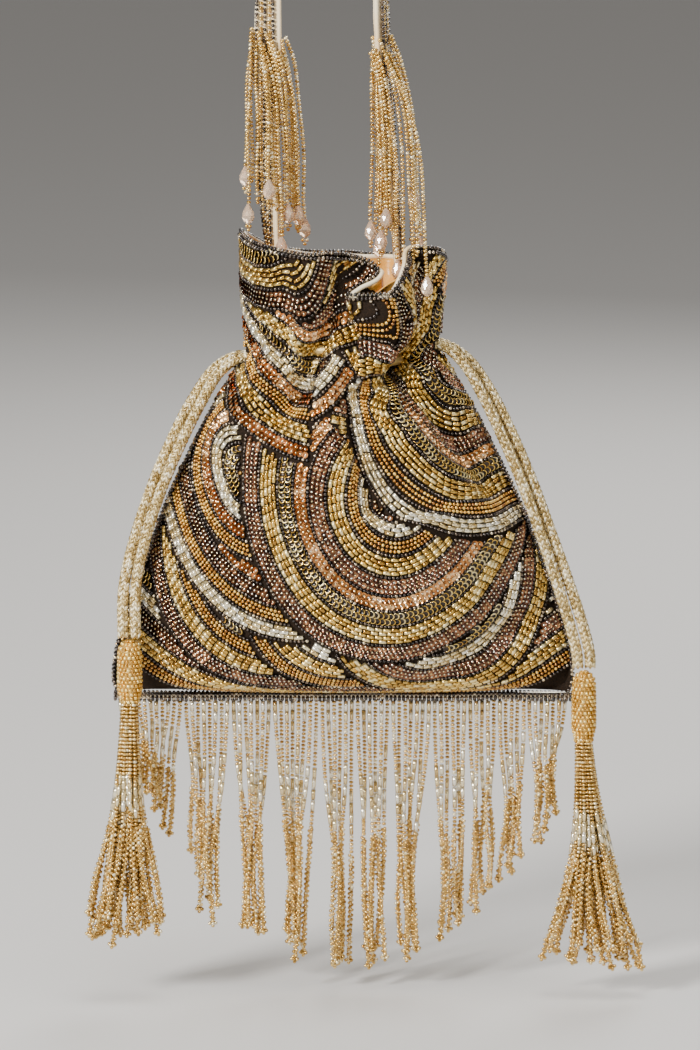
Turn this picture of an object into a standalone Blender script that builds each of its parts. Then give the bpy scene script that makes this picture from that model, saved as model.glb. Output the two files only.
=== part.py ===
"""Potli bag: a beaded drawstring pouch with a fringe, two tassels and a strap handle.

Lengths are in metres and +Z is up. The pouch is modelled by height above its bottom seam,
and everything is parented to an empty that puts the frame's origin at the top of the
handle, on the flat underside where a hook or a hand carries the bag. The front faces -Y.
"""

import math

import bmesh
import bpy
import numpy as np
from mathutils import Vector

MM = 0.001

# ---------------------------------------------------------------- driving dimensions
GRIP_X = -8.5 * MM            # top of the handle, left of the pouch's middle
GRIP_HEIGHT = 376 * MM        # underside of the strap's top above the bottom seam
PANEL_THICKNESS = 1.8 * MM    # cloth with its beads
LINING_THICKNESS = 0.8 * MM
FIT_GAP = 0.3 * MM            # between neighbouring solids
SLOT_LOW = 145 * MM           # side openings of the casing, where the cords come out
SLOT_HIGH = 168 * MM
SLOT_HALF_WIDTH = 8.0 * MM    # half of each side opening of the casing
CORD_DIAMETER = 5.2 * MM
STRAP_WIDTH = 13.5 * MM
STRAP_THICKNESS = 3.6 * MM    # padded satin strap without its beaded band
BAND_THICKNESS = 1.4 * MM
BEAD_ROW = 2.0 * MM           # one row of seed beads
FRINGE_LOCKS = 12
FRINGE_TOP = -4.5 * MM
BINDING_RADIUS = 5.7 * MM
STRING_RADIUS = 1.2 * MM
CRYSTAL_LENGTH = 9.0 * MM
CRYSTAL_RADIUS = 3.0 * MM
SHARE_HEIGHT = 204            # millimetres up the front at its middle, for grid rows
COLUMNS = 22                  # grid columns across each panel

# Height above the seam against half width, half depth and lens exponent, in millimetres.
HALF_WIDTH = ((0, 103.5), (6, 105.5), (20, 104), (43, 97), (66, 89), (90, 80), (113, 69),
              (136, 57), (150, 48), (159, 43.6), (172, 44.5), (190, 46.5), (215, 46.5))
HALF_DEPTH = ((0, 2.2), (4, 19), (12, 31), (30, 41), (55, 46), (80, 45), (105, 42),
              (130, 37), (150, 32), (159, 30), (175, 32), (215, 34))
LENS = ((0, 1.9), (110, 1.8), (150, 1.05), (215, 1.0))

# Rim height round the mouth: degrees from +X, through the front, and millimetres.
RIM = ((0, 199), (20, 204), (35, 205), (50, 200), (62, 189), (72, 186), (82, 192), (93, 203),
       (110, 204), (130, 206), (150, 208), (180, 211), (200, 208), (230, 200), (270, 197),
       (310, 197), (340, 198), (360, 199))

# Folds of the front: points (x, height), then depth (+ is outwards) and width, in millimetres.
FRONT_FOLDS = (
    (((1, 207), (-3, 184), (-10, 163), (-19, 145), (-29, 131)), -8.0, 5.0),
    (((-20, 139), (-8, 153), (4, 168)), 3.5, 6.0),
    (((1, 139), (14, 144), (27, 150), (40, 163)), -5.0, 5.0),
    (((36, 208), (41, 172), (35, 157), (23, 145)), -8.0, 5.0),
    (((4, 143), (6, 125), (12, 103), (15, 82)), -6.0, 6.0),
    (((14, 139), (31, 121), (58, 94), (90, 64)), 4.0, 12.0),
    (((26, 146), (40, 134), (50, 119), (72, 92)), -6.0, 6.0),
    (((97, 39), (62, 26), (38, 6)), -3.0, 7.0),
    (((-26, 162), (-42, 139), (-66, 106)), 4.0, 10.0),
    (((17, 206), (18, 182), (15, 165)), 6.0, 10.0),
    (((-29, 208), (-31, 184), (-28, 166)), 3.0, 13.0),
)
# The back hangs in gentler gathers.
BACK_FOLDS = (
    (((-30, 205), (-25, 165), (-38, 120), (-58, 80)), -5.0, 7.0),
    (((-8, 150), (-11, 120), (-16, 80)), -4.0, 7.0),
    (((12, 205), (9, 165), (14, 120), (22, 75)), -6.0, 7.0),
    (((34, 205), (29, 165), (44, 125), (70, 85)), -5.0, 7.0),
    (((0, 205), (-5, 175), (0, 140), (4, 100)), 3.0, 9.0),
)

# Lining: how far it stays inside the panels, by height at the sides and at the front.
LINING_SIDE = ((0, 9), (100, 8), (150, 4), (170, 3.2), (215, 3.2))
LINING_FRONT = ((0, 13), (6, 10), (14, 6.5), (30, 4.6), (120, 4.6), (150, 3.6), (215, 3.3))
HOLLOW_EASE = 1.35
# Where it is gathered into the throat: height against half width and half depth.
THROAT_WIDTH = ((112, 60), (124, 44), (140, 29), (148, 23), (166, 23), (179, 31), (190, 38),
                (215, 46))
THROAT_DEPTH = ((112, 39), (124, 32), (140, 20), (148, 16), (166, 16), (179, 21), (190, 26),
                (215, 34))

# The ring of each drawstring in the casing: half width, half depth and the two heights.
RING_HALF_WIDTH = 27.4 * MM
RING_HALF_DEPTH = 20.4 * MM
RING_HEIGHT = {"left": 154 * MM, "right": 160 * MM}
RING_OPENING = 34             # degrees on each side of the exit that the ring leaves open
PAIR_PITCH = 5.7 * MM         # between the two runs of a drawstring

# Middle line of each pair of runs: x, y, height in millimetres, and the pair's roll in
# degrees: 90 puts one run in front of the other and 0 puts them side by side.
RUNS = {
    "left": (((-35.0, 0.0, 154.0), 90), ((-45.0, 0.0, 154.5), 90), ((-55.5, -1.0, 149.5), 70),
             ((-66.0, -3.0, 134.5), 48), ((-75.5, -5.0, 116.0), 40), ((-84.0, -6.0, 96.0), 38),
             ((-91.0, -7.5, 75.5), 36), ((-95.8, -12.0, 56.0), 24),
             ((-96.8, -19.5, 43.0), 6), ((-96.6, -23.0, 35.0), 0), ((-96.5, -23.3, 29.2), 0)),
    "right": (((35.0, 0.0, 160.0), 90), ((45.0, 0.0, 159.8), 90), ((55.0, -1.0, 153.0), 70),
              ((64.5, -3.0, 139.0), 48), ((74.0, -5.0, 120.0), 40), ((83.0, -6.0, 99.0), 38),
              ((91.5, -7.0, 76.0), 36), ((99.5, -9.0, 53.0), 26),
              ((106.5, -12.5, 31.0), 8), ((109.3, -14.8, 19.0), 0), ((109.5, -15.0, 13.2), 0)),
}

# Tassels: top of the binding, its length and the skirt's length and reach at the tips.
TASSELS = {
    "left": dict(top=(-96.5, -23.0, 28.2), binding=27.5, skirt=114, lean=(-2.5, 0.0),
                 spread=(20, 9)),
    "right": dict(top=(109.5, -15.0, 12.2), binding=31, skirt=108, lean=(7.0, 0.0),
                  spread=(25, 9)),
}

# Fringe: x against the height of the strand tips.
FRINGE_TIPS = ((-102, -40), (-79, -58), (-65, -91), (-42, -109), (-20, -118), (0, -128),
               (26, -118), (49, -112), (62, -97), (74, -86), (90, -64), (102, -54))

# Middle line of the handle strap: x, height and twist in degrees about the strap.
HANDLE = ((-25.4, 185, 0), (-28.0, 199, 10), (-30.6, 222, 26), (-32.0, 260, 46),
          (-32.2, 300, 55), (-30.6, 330, 40), (-25.5, 359, 14), (-13.5, 376, 0),
          (-3.5, 376, 0), (8.0, 361, 4), (13.0, 338, 12), (15.0, 300, 16),
          (17.5, 260, 14), (21.0, 222, 8), (22.8, 199, 2), (23.6, 184, 0))

# Bead strings on the strap: their top, the arc of directions round the strap that they
# start from, in degrees, and in that order each one's crystal: x, y and height.
STRINGS = {
    "left": dict(top=296, middle=-32.2, twist=55, arc=(110, 370), crystals=(
        (-33.0, 10.5, 212.0), (-43.8, 2.5, 236.0), (-42.5, -6.5, 220.0),
        (-33.0, -15.0, 232.0), (-27.5, -12.5, 206.0), (-24.6, -8.5, 220.5),
        (-20.0, -3.5, 219.0), (-17.2, 3.5, 212.5))),
    "right": dict(top=292, middle=15.4, twist=16, arc=(150, 350), crystals=(
        (16.4, 4.0, 203.5), (12.6, -4.0, 212.3), (17.2, -9.0, 208.6),
        (19.4, -13.0, 219.0), (24.6, -11.5, 195.6), (37.6, -27.5, 190.0),
        (31.8, -12.0, 227.0), (34.6, -2.5, 205.0))),
}

# Colour, metallic value and roughness of each finish.
FINISHES = {
    "beaded_cloth": ((0.42, 0.29, 0.13), 0.8, 0.35),
    "satin": ((0.86, 0.68, 0.38), 0.0, 0.4),
    "dark_beads": ((0.16, 0.13, 0.11), 0.8, 0.3),
    "gold_beads": ((0.72, 0.53, 0.22), 0.8, 0.28),
    "zari_cord": ((0.70, 0.58, 0.34), 0.6, 0.45),
    "crystal": ((0.95, 0.74, 0.55), 0.0, 0.05),
}


# ---------------------------------------------------------------- numbers and curves
def smooth_table(table, at):
    """Values of a table of (place, value) pairs at the places given, on one smooth curve."""
    places = np.array([row[0] for row in table], float)
    values = np.array([row[1] for row in table], float)
    steps = np.diff(values) / np.diff(places)
    slopes = np.empty(len(values))
    slopes[1:-1] = (steps[:-1] + steps[1:]) / 2
    slopes[0], slopes[-1] = steps[0], steps[-1]
    slopes[1:-1][steps[:-1] * steps[1:] <= 0] = 0
    at = np.clip(np.asarray(at, float), places[0], places[-1])
    left = np.clip(np.searchsorted(places, at) - 1, 0, len(places) - 2)
    width = places[left + 1] - places[left]
    t = (at - places[left]) / width
    return ((2 * t ** 3 - 3 * t ** 2 + 1) * values[left]
            + (t ** 3 - 2 * t ** 2 + t) * width * slopes[left]
            + (3 * t ** 2 - 2 * t ** 3) * values[left + 1]
            + (t ** 3 - t ** 2) * width * slopes[left + 1])


def smooth_line(points, spacing):
    """Points at an even spacing on one smooth curve through the points given."""
    points = np.array(points, float)
    lengths = np.linalg.norm(np.diff(points[:, :3], axis=0), axis=1)
    along = np.concatenate(([0], np.cumsum(lengths)))
    fine = np.linspace(0, along[-1], 400)
    curve = np.stack([smooth_table(list(zip(along, column)), fine)
                      for column in points.T], axis=1)
    steps = np.linalg.norm(np.diff(curve[:, :3], axis=0), axis=1)
    reach = np.concatenate(([0], np.cumsum(steps)))
    count = max(2, round(reach[-1] / spacing) + 1)
    even = np.linspace(0, reach[-1], count)
    return np.stack([np.interp(even, reach, column) for column in curve.T], axis=1)


def fold_depth(folds, x, height, hollows_only=False):
    """Sum of the folds at points of a panel: each falls off across its line and at its ends.
    The lining has only the hollows, and wider ones."""
    total = np.zeros(np.shape(x))
    for line, depth, width in folds:
        if hollows_only:
            if depth > 0:
                continue
            width = HOLLOW_EASE * width
        line = np.array(line, float)
        reach = np.concatenate(([0], np.cumsum(np.linalg.norm(np.diff(line, axis=0), axis=1))))
        nearest = np.full(np.shape(x), 1e9)
        place = np.zeros(np.shape(x))
        for i, (start, end) in enumerate(zip(line[:-1], line[1:])):
            side = end - start
            t = ((x - start[0]) * side[0] + (height - start[1]) * side[1]) / (side @ side)
            t = np.clip(t, 0, 1)
            far = np.hypot(x - start[0] - t * side[0], height - start[1] - t * side[1])
            closer = far < nearest
            nearest = np.where(closer, far, nearest)
            place = np.where(closer, reach[i] + t * (reach[i + 1] - reach[i]), place)
        taper = np.clip(np.minimum(place, reach[-1] - place) / (1.6 * width), 0, 1)
        taper = 0.35 + 0.65 * taper * taper * (3 - 2 * taper)
        total += depth * taper * np.exp(-(nearest / width) ** 2)
    return total


# ---------------------------------------------------------------- the pouch's surface
def pouch(angle, share, inset=(0, 0), hollows_only=False):
    """Points of the pouch's outer surface, in metres. angle runs from +X through the front;
    share is 0 at the bottom seam and 1 at the rim. inset narrows it, in millimetres."""
    angle, share = np.broadcast_arrays(np.asarray(angle, float), np.asarray(share, float))
    rim = smooth_table(RIM, np.degrees(angle) % 360.0001)
    height = share * rim
    wide = smooth_table(HALF_WIDTH, height) - inset[0]
    deep = smooth_table(HALF_DEPTH, height) - inset[1]
    power = smooth_table(LENS, height)
    cosine, sine = np.cos(angle), np.sin(angle)
    x = wide * cosine
    y = -deep * np.sign(sine) * np.abs(sine) ** power
    outward_x, outward_y = cosine / wide, -sine / deep
    size = np.hypot(outward_x, outward_y)
    depth = np.where(sine >= 0, fold_depth(FRONT_FOLDS, x, height, hollows_only),
                     fold_depth(BACK_FOLDS, x, height, hollows_only))
    depth *= np.clip((np.abs(sine) - 0.2) * 2.5, 0, 1) * np.clip(height / 12, 0, 1)
    x = x + depth * outward_x / size
    y = y + depth * outward_y / size
    # the folds stop at the cords in the casing
    inside = np.maximum(np.hypot(x, y * RING_HALF_WIDTH / RING_HALF_DEPTH), 1)
    limit = (RING_HALF_WIDTH + CORD_DIAMETER / 2 + PANEL_THICKNESS) / MM + 1 + 8 * cosine ** 8
    near = np.clip(3 - 3 * np.abs(height - 157) / 16, 0, 1) * (inset[0] == 0)
    push = np.where(inside < limit, 1 + (limit / inside - 1) * near, 1)
    return np.stack((x * push, y * push, height), axis=-1) * MM


def pouch_inward(angle, share):
    """Unit vectors from the pouch's outer surface towards its inside."""
    step = 0.01
    along = pouch(angle + step, share) - pouch(angle - step, share)
    up = pouch(angle, np.minimum(share + step, 1)) - pouch(angle, np.maximum(share - step, 0))
    normal = np.cross(along, up)
    return normal / np.linalg.norm(normal, axis=-1, keepdims=True)


def grid_solid(outer, inner):
    """Closed mesh of a sheet with thickness, from two grids of points [row][column]."""
    mesh = bmesh.new()
    layers = [[[mesh.verts.new(point) for point in row] for row in grid]
              for grid in (outer, inner)]
    rows, columns = len(outer), len(outer[0])
    front, back = layers
    for r in range(rows - 1):
        for c in range(columns - 1):
            mesh.faces.new((front[r][c], front[r][c + 1], front[r + 1][c + 1], front[r + 1][c]))
            mesh.faces.new((back[r][c + 1], back[r][c], back[r + 1][c], back[r + 1][c + 1]))
    for r in range(rows - 1):
        mesh.faces.new((back[r][0], front[r][0], front[r + 1][0], back[r + 1][0]))
        mesh.faces.new((front[r][-1], back[r][-1], back[r + 1][-1], front[r + 1][-1]))
    for c in range(columns - 1):
        mesh.faces.new((back[0][c + 1], front[0][c + 1], front[0][c], back[0][c]))
        mesh.faces.new((front[-1][c], front[-1][c + 1], back[-1][c + 1], back[-1][c]))
    return mesh


def ring_solid(rings, closed=False):
    """Closed mesh through rings of the same number of points: capped, or closed on itself."""
    mesh = bmesh.new()
    rings = [[mesh.verts.new(point) for point in ring] for ring in rings]
    pairs = list(zip(rings[:-1], rings[1:]))
    if closed:
        pairs.append((rings[-1], rings[0]))
    for low, high in pairs:
        for i in range(len(low)):
            j = (i + 1) % len(low)
            mesh.faces.new((low[i], low[j], high[j], high[i]))
    if not closed:
        mesh.faces.new(rings[0][::-1])
        mesh.faces.new(rings[-1])
    return mesh


# ---------------------------------------------------------------- objects and finishes
def finish(name):
    """The Principled material of one finish, made once."""
    found = bpy.data.materials.get(name)
    if found:
        return found
    colour, metallic, roughness = FINISHES[name]
    material = bpy.data.materials.new(name)
    material.use_nodes = True
    shader = material.node_tree.nodes["Principled BSDF"]
    shader.inputs["Base Color"].default_value = (*colour, 1)
    shader.inputs["Metallic"].default_value = metallic
    shader.inputs["Roughness"].default_value = roughness
    return material


def place(obj, material, parent, at=(0, 0, 0)):
    """Links an object under its parent with its origin at a point of the pouch's own frame."""
    bpy.context.scene.collection.objects.link(obj)
    obj.data.materials.append(finish(material))
    obj.parent = parent
    obj.location = Vector(at) - Vector(parent["origin"])
    return obj


def mesh_object(name, mesh, material, parent, at=(0, 0, 0)):
    """Makes an object of a bmesh given in the pouch's frame, with its origin moved to at."""
    bmesh.ops.translate(mesh, verts=mesh.verts, vec=-Vector(at))
    bmesh.ops.recalc_face_normals(mesh, faces=mesh.faces)
    data = bpy.data.meshes.new(name)
    mesh.to_mesh(data)
    mesh.free()
    data.shade_smooth()
    data.set_sharp_from_angle(angle=math.radians(40))
    return place(bpy.data.objects.new(name, data), material, parent, at)


def tube_object(name, points, radius, material, parent, resolution=2):
    """Makes a tube with filled caps along points given in the pouch's frame."""
    curve = bpy.data.curves.new(name, "CURVE")
    curve.dimensions = "3D"
    curve.bevel_depth = radius
    curve.bevel_resolution = resolution
    curve.use_fill_caps = True
    spline = curve.splines.new("POLY")
    spline.points.add(len(points) - 1)
    for target, point in zip(spline.points, points):
        target.co = (*point, 1)
    return place(bpy.data.objects.new(name, curve), material, parent)


def empty(name, at, parent=None):
    """An empty at a point of the pouch's frame, which it remembers for its children."""
    obj = bpy.data.objects.new(name, None)
    bpy.context.scene.collection.objects.link(obj)
    obj["origin"] = tuple(at)
    if parent:
        obj.parent = parent
        obj.location = Vector(at) - Vector(parent["origin"])
    return obj


# ---------------------------------------------------------------- sub-parts
def row_shares():
    """Heights of the grid rows as shares of the rim's height, closer at the bottom."""
    low = np.array([0, 1.3, 4, 10, 20, 35, 54, 74, 93, 110, 124, 136, 146]) / SHARE_HEIGHT
    high = np.array([151, 156.5, 162, 166.5, 175, 185, 195]) / SHARE_HEIGHT
    return np.concatenate((low, high, [1.0]))


def panel(side, parent):
    """The front or back panel: half of the pouch, open at the casing's side slots."""
    start = 0 if side == "front" else math.pi
    outer, inner = [], []
    for share in row_shares():
        height = share * SHARE_HEIGHT * MM
        slot = SLOT_LOW < height < SLOT_HIGH
        margin = math.asin(SLOT_HALF_WIDTH / (30 * MM)) if slot else 0
        angles = start + np.linspace(margin, math.pi - margin, COLUMNS + 1)
        points = pouch(angles, np.full(angles.shape, share))
        inward = pouch_inward(angles, np.full(angles.shape, share))
        outer.append(points)
        inner.append(points + PANEL_THICKNESS * inward)
    sign = -1 if side == "front" else 1
    for grid in (outer, inner):
        for row in grid:
            row[:, 1] = sign * np.maximum(sign * row[:, 1], FIT_GAP / 2)
    return mesh_object(side + "_panel", grid_solid(outer, inner), "beaded_cloth", parent)


def lining_rings(inset, lowest):
    """Rings of a lining surface, from the bottom to just under the rim."""
    angles = np.linspace(0, 2 * math.pi, 2 * COLUMNS, endpoint=False)
    rings = []
    shares = row_shares()
    shares = [lowest / SHARE_HEIGHT, *shares[shares * SHARE_HEIGHT > lowest + 2][:-1]]
    for share in shares + [1 - 2.2 / SHARE_HEIGHT]:
        side = float(smooth_table(LINING_SIDE, share * SHARE_HEIGHT))
        front = float(smooth_table(LINING_FRONT, share * SHARE_HEIGHT))
        ring = pouch(angles, share, (side + inset, front + inset), hollows_only=True)
        height = ring[:, 2] / MM
        wide = (smooth_table(THROAT_WIDTH, height) - inset) * MM
        deep = (smooth_table(THROAT_DEPTH, height) - inset) * MM
        beyond = np.hypot(ring[:, 0] / wide, ring[:, 1] / deep)
        gathered = (height > THROAT_WIDTH[0][0] - 1) & (beyond > 1)
        ring[:, :2] /= np.where(gathered, beyond, 1)[:, None]
        rings.append(ring)
    return rings


def lining(parent):
    """The satin lining: one bag with a wall, closed at the bottom and open at the mouth."""
    mesh = bmesh.new()
    walls = []
    for inset, lowest in ((0, 5), (LINING_THICKNESS / MM, 7)):
        rings = lining_rings(inset, lowest)
        walls.append([[mesh.verts.new(point) for point in ring] for ring in rings])
    count = len(walls[0][0])
    for wall in walls:
        for low, high in zip(wall[:-1], wall[1:]):
            for i in range(count):
                j = (i + 1) % count
                mesh.faces.new((low[i], low[j], high[j], high[i]))
        bottom = wall[0]
        for i in range(count // 2):
            j = (count - i) % count
            k = (count - i - 1) % count
            corners = [bottom[i], bottom[i + 1], bottom[k], bottom[j]]
            mesh.faces.new(list(dict.fromkeys(corners)))
    for i in range(count):
        j = (i + 1) % count
        mesh.faces.new((walls[0][-1][i], walls[0][-1][j], walls[1][-1][j], walls[1][-1][i]))
    return mesh_object("satin_lining", mesh, "satin", parent)


def tube_rings(points, radius, sides, closed=False):
    """Rings of a round tube that keeps its section upright along a mostly level line."""
    points = np.array(points)
    rings = []
    for i, point in enumerate(points):
        ahead = points[(i + 1) % len(points)] if closed or i + 1 < len(points) else point
        behind = points[i - 1] if closed or i > 0 else point
        tangent = Vector(ahead - behind).normalized()
        across = tangent.cross(Vector((0, 0, 1))).normalized()
        upward = across.cross(tangent)
        rings.append([Vector(point) + radius * (math.cos(a) * across + math.sin(a) * upward)
                      for a in np.linspace(0, 2 * math.pi, sides, endpoint=False)])
    return rings


def rim_beading(parent):
    """One row of seed beads round the mouth, on the panels' top edge."""
    angles = np.linspace(0, 2 * math.pi, 2 * COLUMNS, endpoint=False)
    edge = pouch(angles, 1.0)
    points = edge + 0.5 * PANEL_THICKNESS * pouch_inward(angles, np.ones(angles.shape))
    along = np.roll(edge, -1, axis=0) - np.roll(edge, 1, axis=0)
    along /= np.linalg.norm(along, axis=1, keepdims=True)
    lift = np.array((0, 0, 1)) - along * along[:, 2:]
    lift /= np.linalg.norm(lift, axis=1, keepdims=True)
    points[:, 2] = edge[:, 2]
    points += (BEAD_ROW / 2 + 4 * FIT_GAP) * lift
    rings = tube_rings(points, BEAD_ROW / 2, 6, closed=True)
    return mesh_object("rim_beading", ring_solid(rings, closed=True), "dark_beads", parent)


def bottom_beading(parent):
    """The beaded tape along the bottom seam, which carries the fringe."""
    ends = HALF_WIDTH[0][1] - 2
    rings = []
    for x in np.linspace(-ends, ends, 9):
        rings.append([(x * MM, 1.6 * MM * y, (z * 1.7 - 2.3) * MM)
                      for y, z in ((-1, -1), (1, -1), (1.1, 0), (0.8, 1), (-0.8, 1), (-1.1, 0))])
    return mesh_object("bottom_beading", ring_solid(rings), "dark_beads", parent)


def fringe_lock(number, parent):
    """One lock of the fringe: it stands for the bead strands of its stretch of the seam."""
    ends = HALF_WIDTH[0][1] - 2.5
    pitch = 2 * ends / FRINGE_LOCKS
    middle = -ends + (number + 0.5) * pitch
    half = pitch / 2 - 0.5
    rings = []
    for share, slim in ((0, 0.75), (0.3, 1.0), (0.75, 1.0), (1.0, 0.8)):
        ring = []
        for x, y in ((-1, 0), (-0.7, -1), (0.7, -1), (1, 0), (0.7, 1), (-0.7, 1)):
            across = middle + x * half
            tip = float(smooth_table(FRINGE_TIPS, across))
            height = FRINGE_TOP / MM + share * (tip - FRINGE_TOP / MM)
            ring.append((across * MM, 2.4 * slim * y * MM, height * MM))
        rings.append(ring)
    name = f"fringe_lock_{number + 1:02d}"
    return mesh_object(name, ring_solid(rings), "gold_beads", parent)


def pair_runs(side):
    """The two runs of a drawstring outside the pouch, from the casing to the tassel."""
    route = [(*point, roll) for point, roll in RUNS[side]]
    middle = smooth_line(route, 11)
    points, rolls = middle[:, :3], np.radians(middle[:, 3])
    tangent = np.gradient(points, axis=0)
    inwards = 1 if side == "left" else -1
    beside = np.stack((-tangent[:, 2], np.zeros(len(points)), tangent[:, 0]), axis=1) * inwards
    beside /= np.linalg.norm(beside, axis=1, keepdims=True)
    ahead = np.array((0, -1, 0))
    across = np.cos(rolls)[:, None] * beside + np.sin(rolls)[:, None] * ahead
    across /= np.linalg.norm(across, axis=1, keepdims=True)
    half = PAIR_PITCH / MM / 2 * across
    return (points + half) * MM, (points - half) * MM


def drawstring(side, parent):
    """One drawstring: down the front run, round the casing and back along the other run."""
    front_run, back_run = pair_runs(side)
    facing = math.pi if side == "left" else 0
    opening = math.radians(RING_OPENING)
    turn = np.linspace(opening, 2 * math.pi - opening, 13)
    if side == "left":
        angles = facing + turn
    else:
        angles = facing - turn
    ring = np.stack((RING_HALF_WIDTH * np.cos(angles), RING_HALF_DEPTH * np.sin(angles),
                     np.full(len(angles), RING_HEIGHT[side])), axis=1)
    through = np.concatenate((front_run[::-1], ring, back_run)) / MM
    points = smooth_line(through, 11) * MM
    name = "drawstring_" + side
    return tube_object(name, points, CORD_DIAMETER / 2, "zari_cord", parent)


def tassel(side, parent):
    """A tassel: binding and skirt swing about the middle of the binding's round top."""
    size = TASSELS[side]
    top = Vector(size["top"]) * MM
    swing = top - Vector((0, 0, BINDING_RADIUS))
    pivot = empty(side + "_tassel_pivot", swing, parent)
    length = size["binding"] * MM - BINDING_RADIUS
    profile = [(BINDING_RADIUS * math.cos(a), BINDING_RADIUS * math.sin(a))
               for a in np.radians((78, 55, 30, 5))]
    profile += [(BINDING_RADIUS * slim, -share * length)
                for share, slim in ((0.35, 1.04), (0.75, 1.0), (0.94, 0.92), (1, 0.8))]
    rings = [[swing + Vector((radius * math.cos(a), radius * math.sin(a), rise))
              for a in np.linspace(0, 2 * math.pi, 14, endpoint=False)]
             for radius, rise in profile]
    mesh_object(side + "_tassel_binding", ring_solid(rings), "gold_beads", pivot, swing)

    foot = swing - Vector((0, 0, length + FIT_GAP))
    lean = Vector((*size["lean"], 0)) * MM
    neck = 0.75 * BINDING_RADIUS / MM
    rings = []
    for share, open_share in ((0, 0), (0.12, 0.12), (0.35, 0.36), (0.65, 0.66), (0.9, 1), (1, 0.9)):
        wide, deep = (neck + (reach - neck) * open_share for reach in size["spread"])
        middle = foot + lean * share - Vector((0, 0, share * size["skirt"] * MM))
        rings.append([middle + Vector((wide * math.cos(a), deep * math.sin(a), 0)) * MM
                      for a in np.linspace(0, 2 * math.pi, 12, endpoint=False)])
    mesh_object(side + "_tassel_skirt", ring_solid(rings), "gold_beads", pivot, foot)


def strap_frames():
    """Stations along the handle: middle point, across and outward unit vectors."""
    line = smooth_line([(x, 0, z, twist) for x, z, twist in HANDLE], 7.5)
    top = int(np.argmax(line[:, 2]))
    if line[top - 1, 2] > line[top + 1, 2]:
        top -= 1
    level = GRIP_HEIGHT / MM
    for i in (top, top + 1):
        line[i, 2] = level
        line[i, 3] = 0
    points = line[:, :3] * MM
    frames = []
    for i, point in enumerate(points):
        tangent = Vector(points[min(i + 1, len(points) - 1)] - points[max(i - 1, 0)]).normalized()
        if i in (top, top + 1):
            tangent = Vector((1, 0, 0))
        outward = Vector((-tangent.z, 0, tangent.x))
        turn = math.radians(line[i, 3])
        across = Vector((0, -1, 0)) * math.cos(turn) - outward * math.sin(turn)
        face = outward * math.cos(turn) + Vector((0, -1, 0)) * math.sin(turn)
        frames.append((Vector(point), across.normalized(), face.normalized()))
    return frames


def handle(parent):
    """The padded strap, and the beaded band on its outer face. The strap's inner face is
    flat, and level at the top of the handle."""
    strap, band = [], []
    half = STRAP_WIDTH / 2
    thick = STRAP_THICKNESS
    for point, across, face in strap_frames():
        outline = ((-0.82, 0), (0.82, 0), (1, 0.3), (1, 0.7), (0.82, 1), (-0.82, 1),
                   (-1, 0.7), (-1, 0.3))
        strap.append([point + across * half * u + face * thick * v for u, v in outline])
        low = thick + 3 * FIT_GAP
        outline = ((-0.8, 0), (0.8, 0), (0.86, 0.5), (0.74, 1), (-0.74, 1), (-0.86, 0.5))
        band.append([point + across * half * u + face * (low + BAND_THICKNESS * v)
                     for u, v in outline])
    mesh_object("handle_strap", ring_solid(strap), "satin", parent)
    mesh_object("handle_beading", ring_solid(band), "dark_beads", parent)


def bead_strings(side, parent):
    """The bead strings of one side of the handle, each down to its faceted crystal drop."""
    bunch = STRINGS[side]
    turn = math.radians(bunch["twist"])
    sign = -1 if side == "left" else 1
    face = Vector((sign * math.cos(turn), -math.sin(turn), 0))
    across = Vector((face.y, -face.x, 0))
    middle = Vector((bunch["middle"], 0, 0)) * MM
    middle += face * (STRAP_THICKNESS + BAND_THICKNESS) / 2
    reach_wide = STRAP_WIDTH / 2 + 2.8 * MM
    reach_thick = (STRAP_THICKNESS + BAND_THICKNESS) / 2 + 2.9 * MM
    directions = np.radians(np.linspace(*bunch["arc"], len(bunch["crystals"])))
    for number, (angle, crystal) in enumerate(zip(directions, bunch["crystals"]), start=1):
        direction = Vector((math.cos(angle), math.sin(angle), 0))
        along, out = direction.dot(across), direction.dot(face)
        start = middle + direction / max(abs(along) / reach_wide, abs(out) / reach_thick)
        start.z = bunch["top"] * MM
        end = Vector(crystal) * MM + Vector((0, 0, CRYSTAL_LENGTH / 2 + 2 * FIT_GAP))
        bend = start.lerp(end, 0.5) + 0.18 * Vector((end.x - start.x, end.y - start.y, 0))
        points = smooth_line([tuple(p / MM) for p in (start, bend, end)], 14) * MM
        name = f"{side}_bead_string_{number}"
        tube_object(name, points, STRING_RADIUS, "gold_beads", parent, resolution=1)
        crystal_drop(f"{side}_crystal_{number}", Vector(crystal) * MM, parent)


def crystal_drop(name, middle, parent):
    """A faceted teardrop, wider below its middle."""
    rings = []
    for share, size, turn in ((0, 0.25, 0), (0.3, 0.72, 0.5), (0.62, 1.0, 0), (0.86, 0.7, 0.5),
                              (1, 0.25, 0)):
        rings.append([middle + Vector((CRYSTAL_RADIUS * size * math.cos(a),
                                       CRYSTAL_RADIUS * size * math.sin(a),
                                       (0.5 - share) * CRYSTAL_LENGTH))
                      for a in (math.tau * (i + turn) / 6 for i in range(6))])
    mesh_object(name, ring_solid(rings), "crystal", parent, middle)


def clear_scene():
    for obj in list(bpy.data.objects):
        bpy.data.objects.remove(obj, do_unlink=True)


def build():
    clear_scene()
    frame = empty("potli_bag_frame", (0, 0, 0))
    frame.location = (-GRIP_X, 0, -GRIP_HEIGHT)
    panel("front", frame)
    panel("back", frame)
    lining(frame)
    rim_beading(frame)
    bottom_beading(frame)
    for number in range(FRINGE_LOCKS):
        fringe_lock(number, frame)
    for side in ("left", "right"):
        drawstring(side, frame)
        tassel(side, frame)
        bead_strings(side, frame)
    handle(frame)


build()
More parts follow.
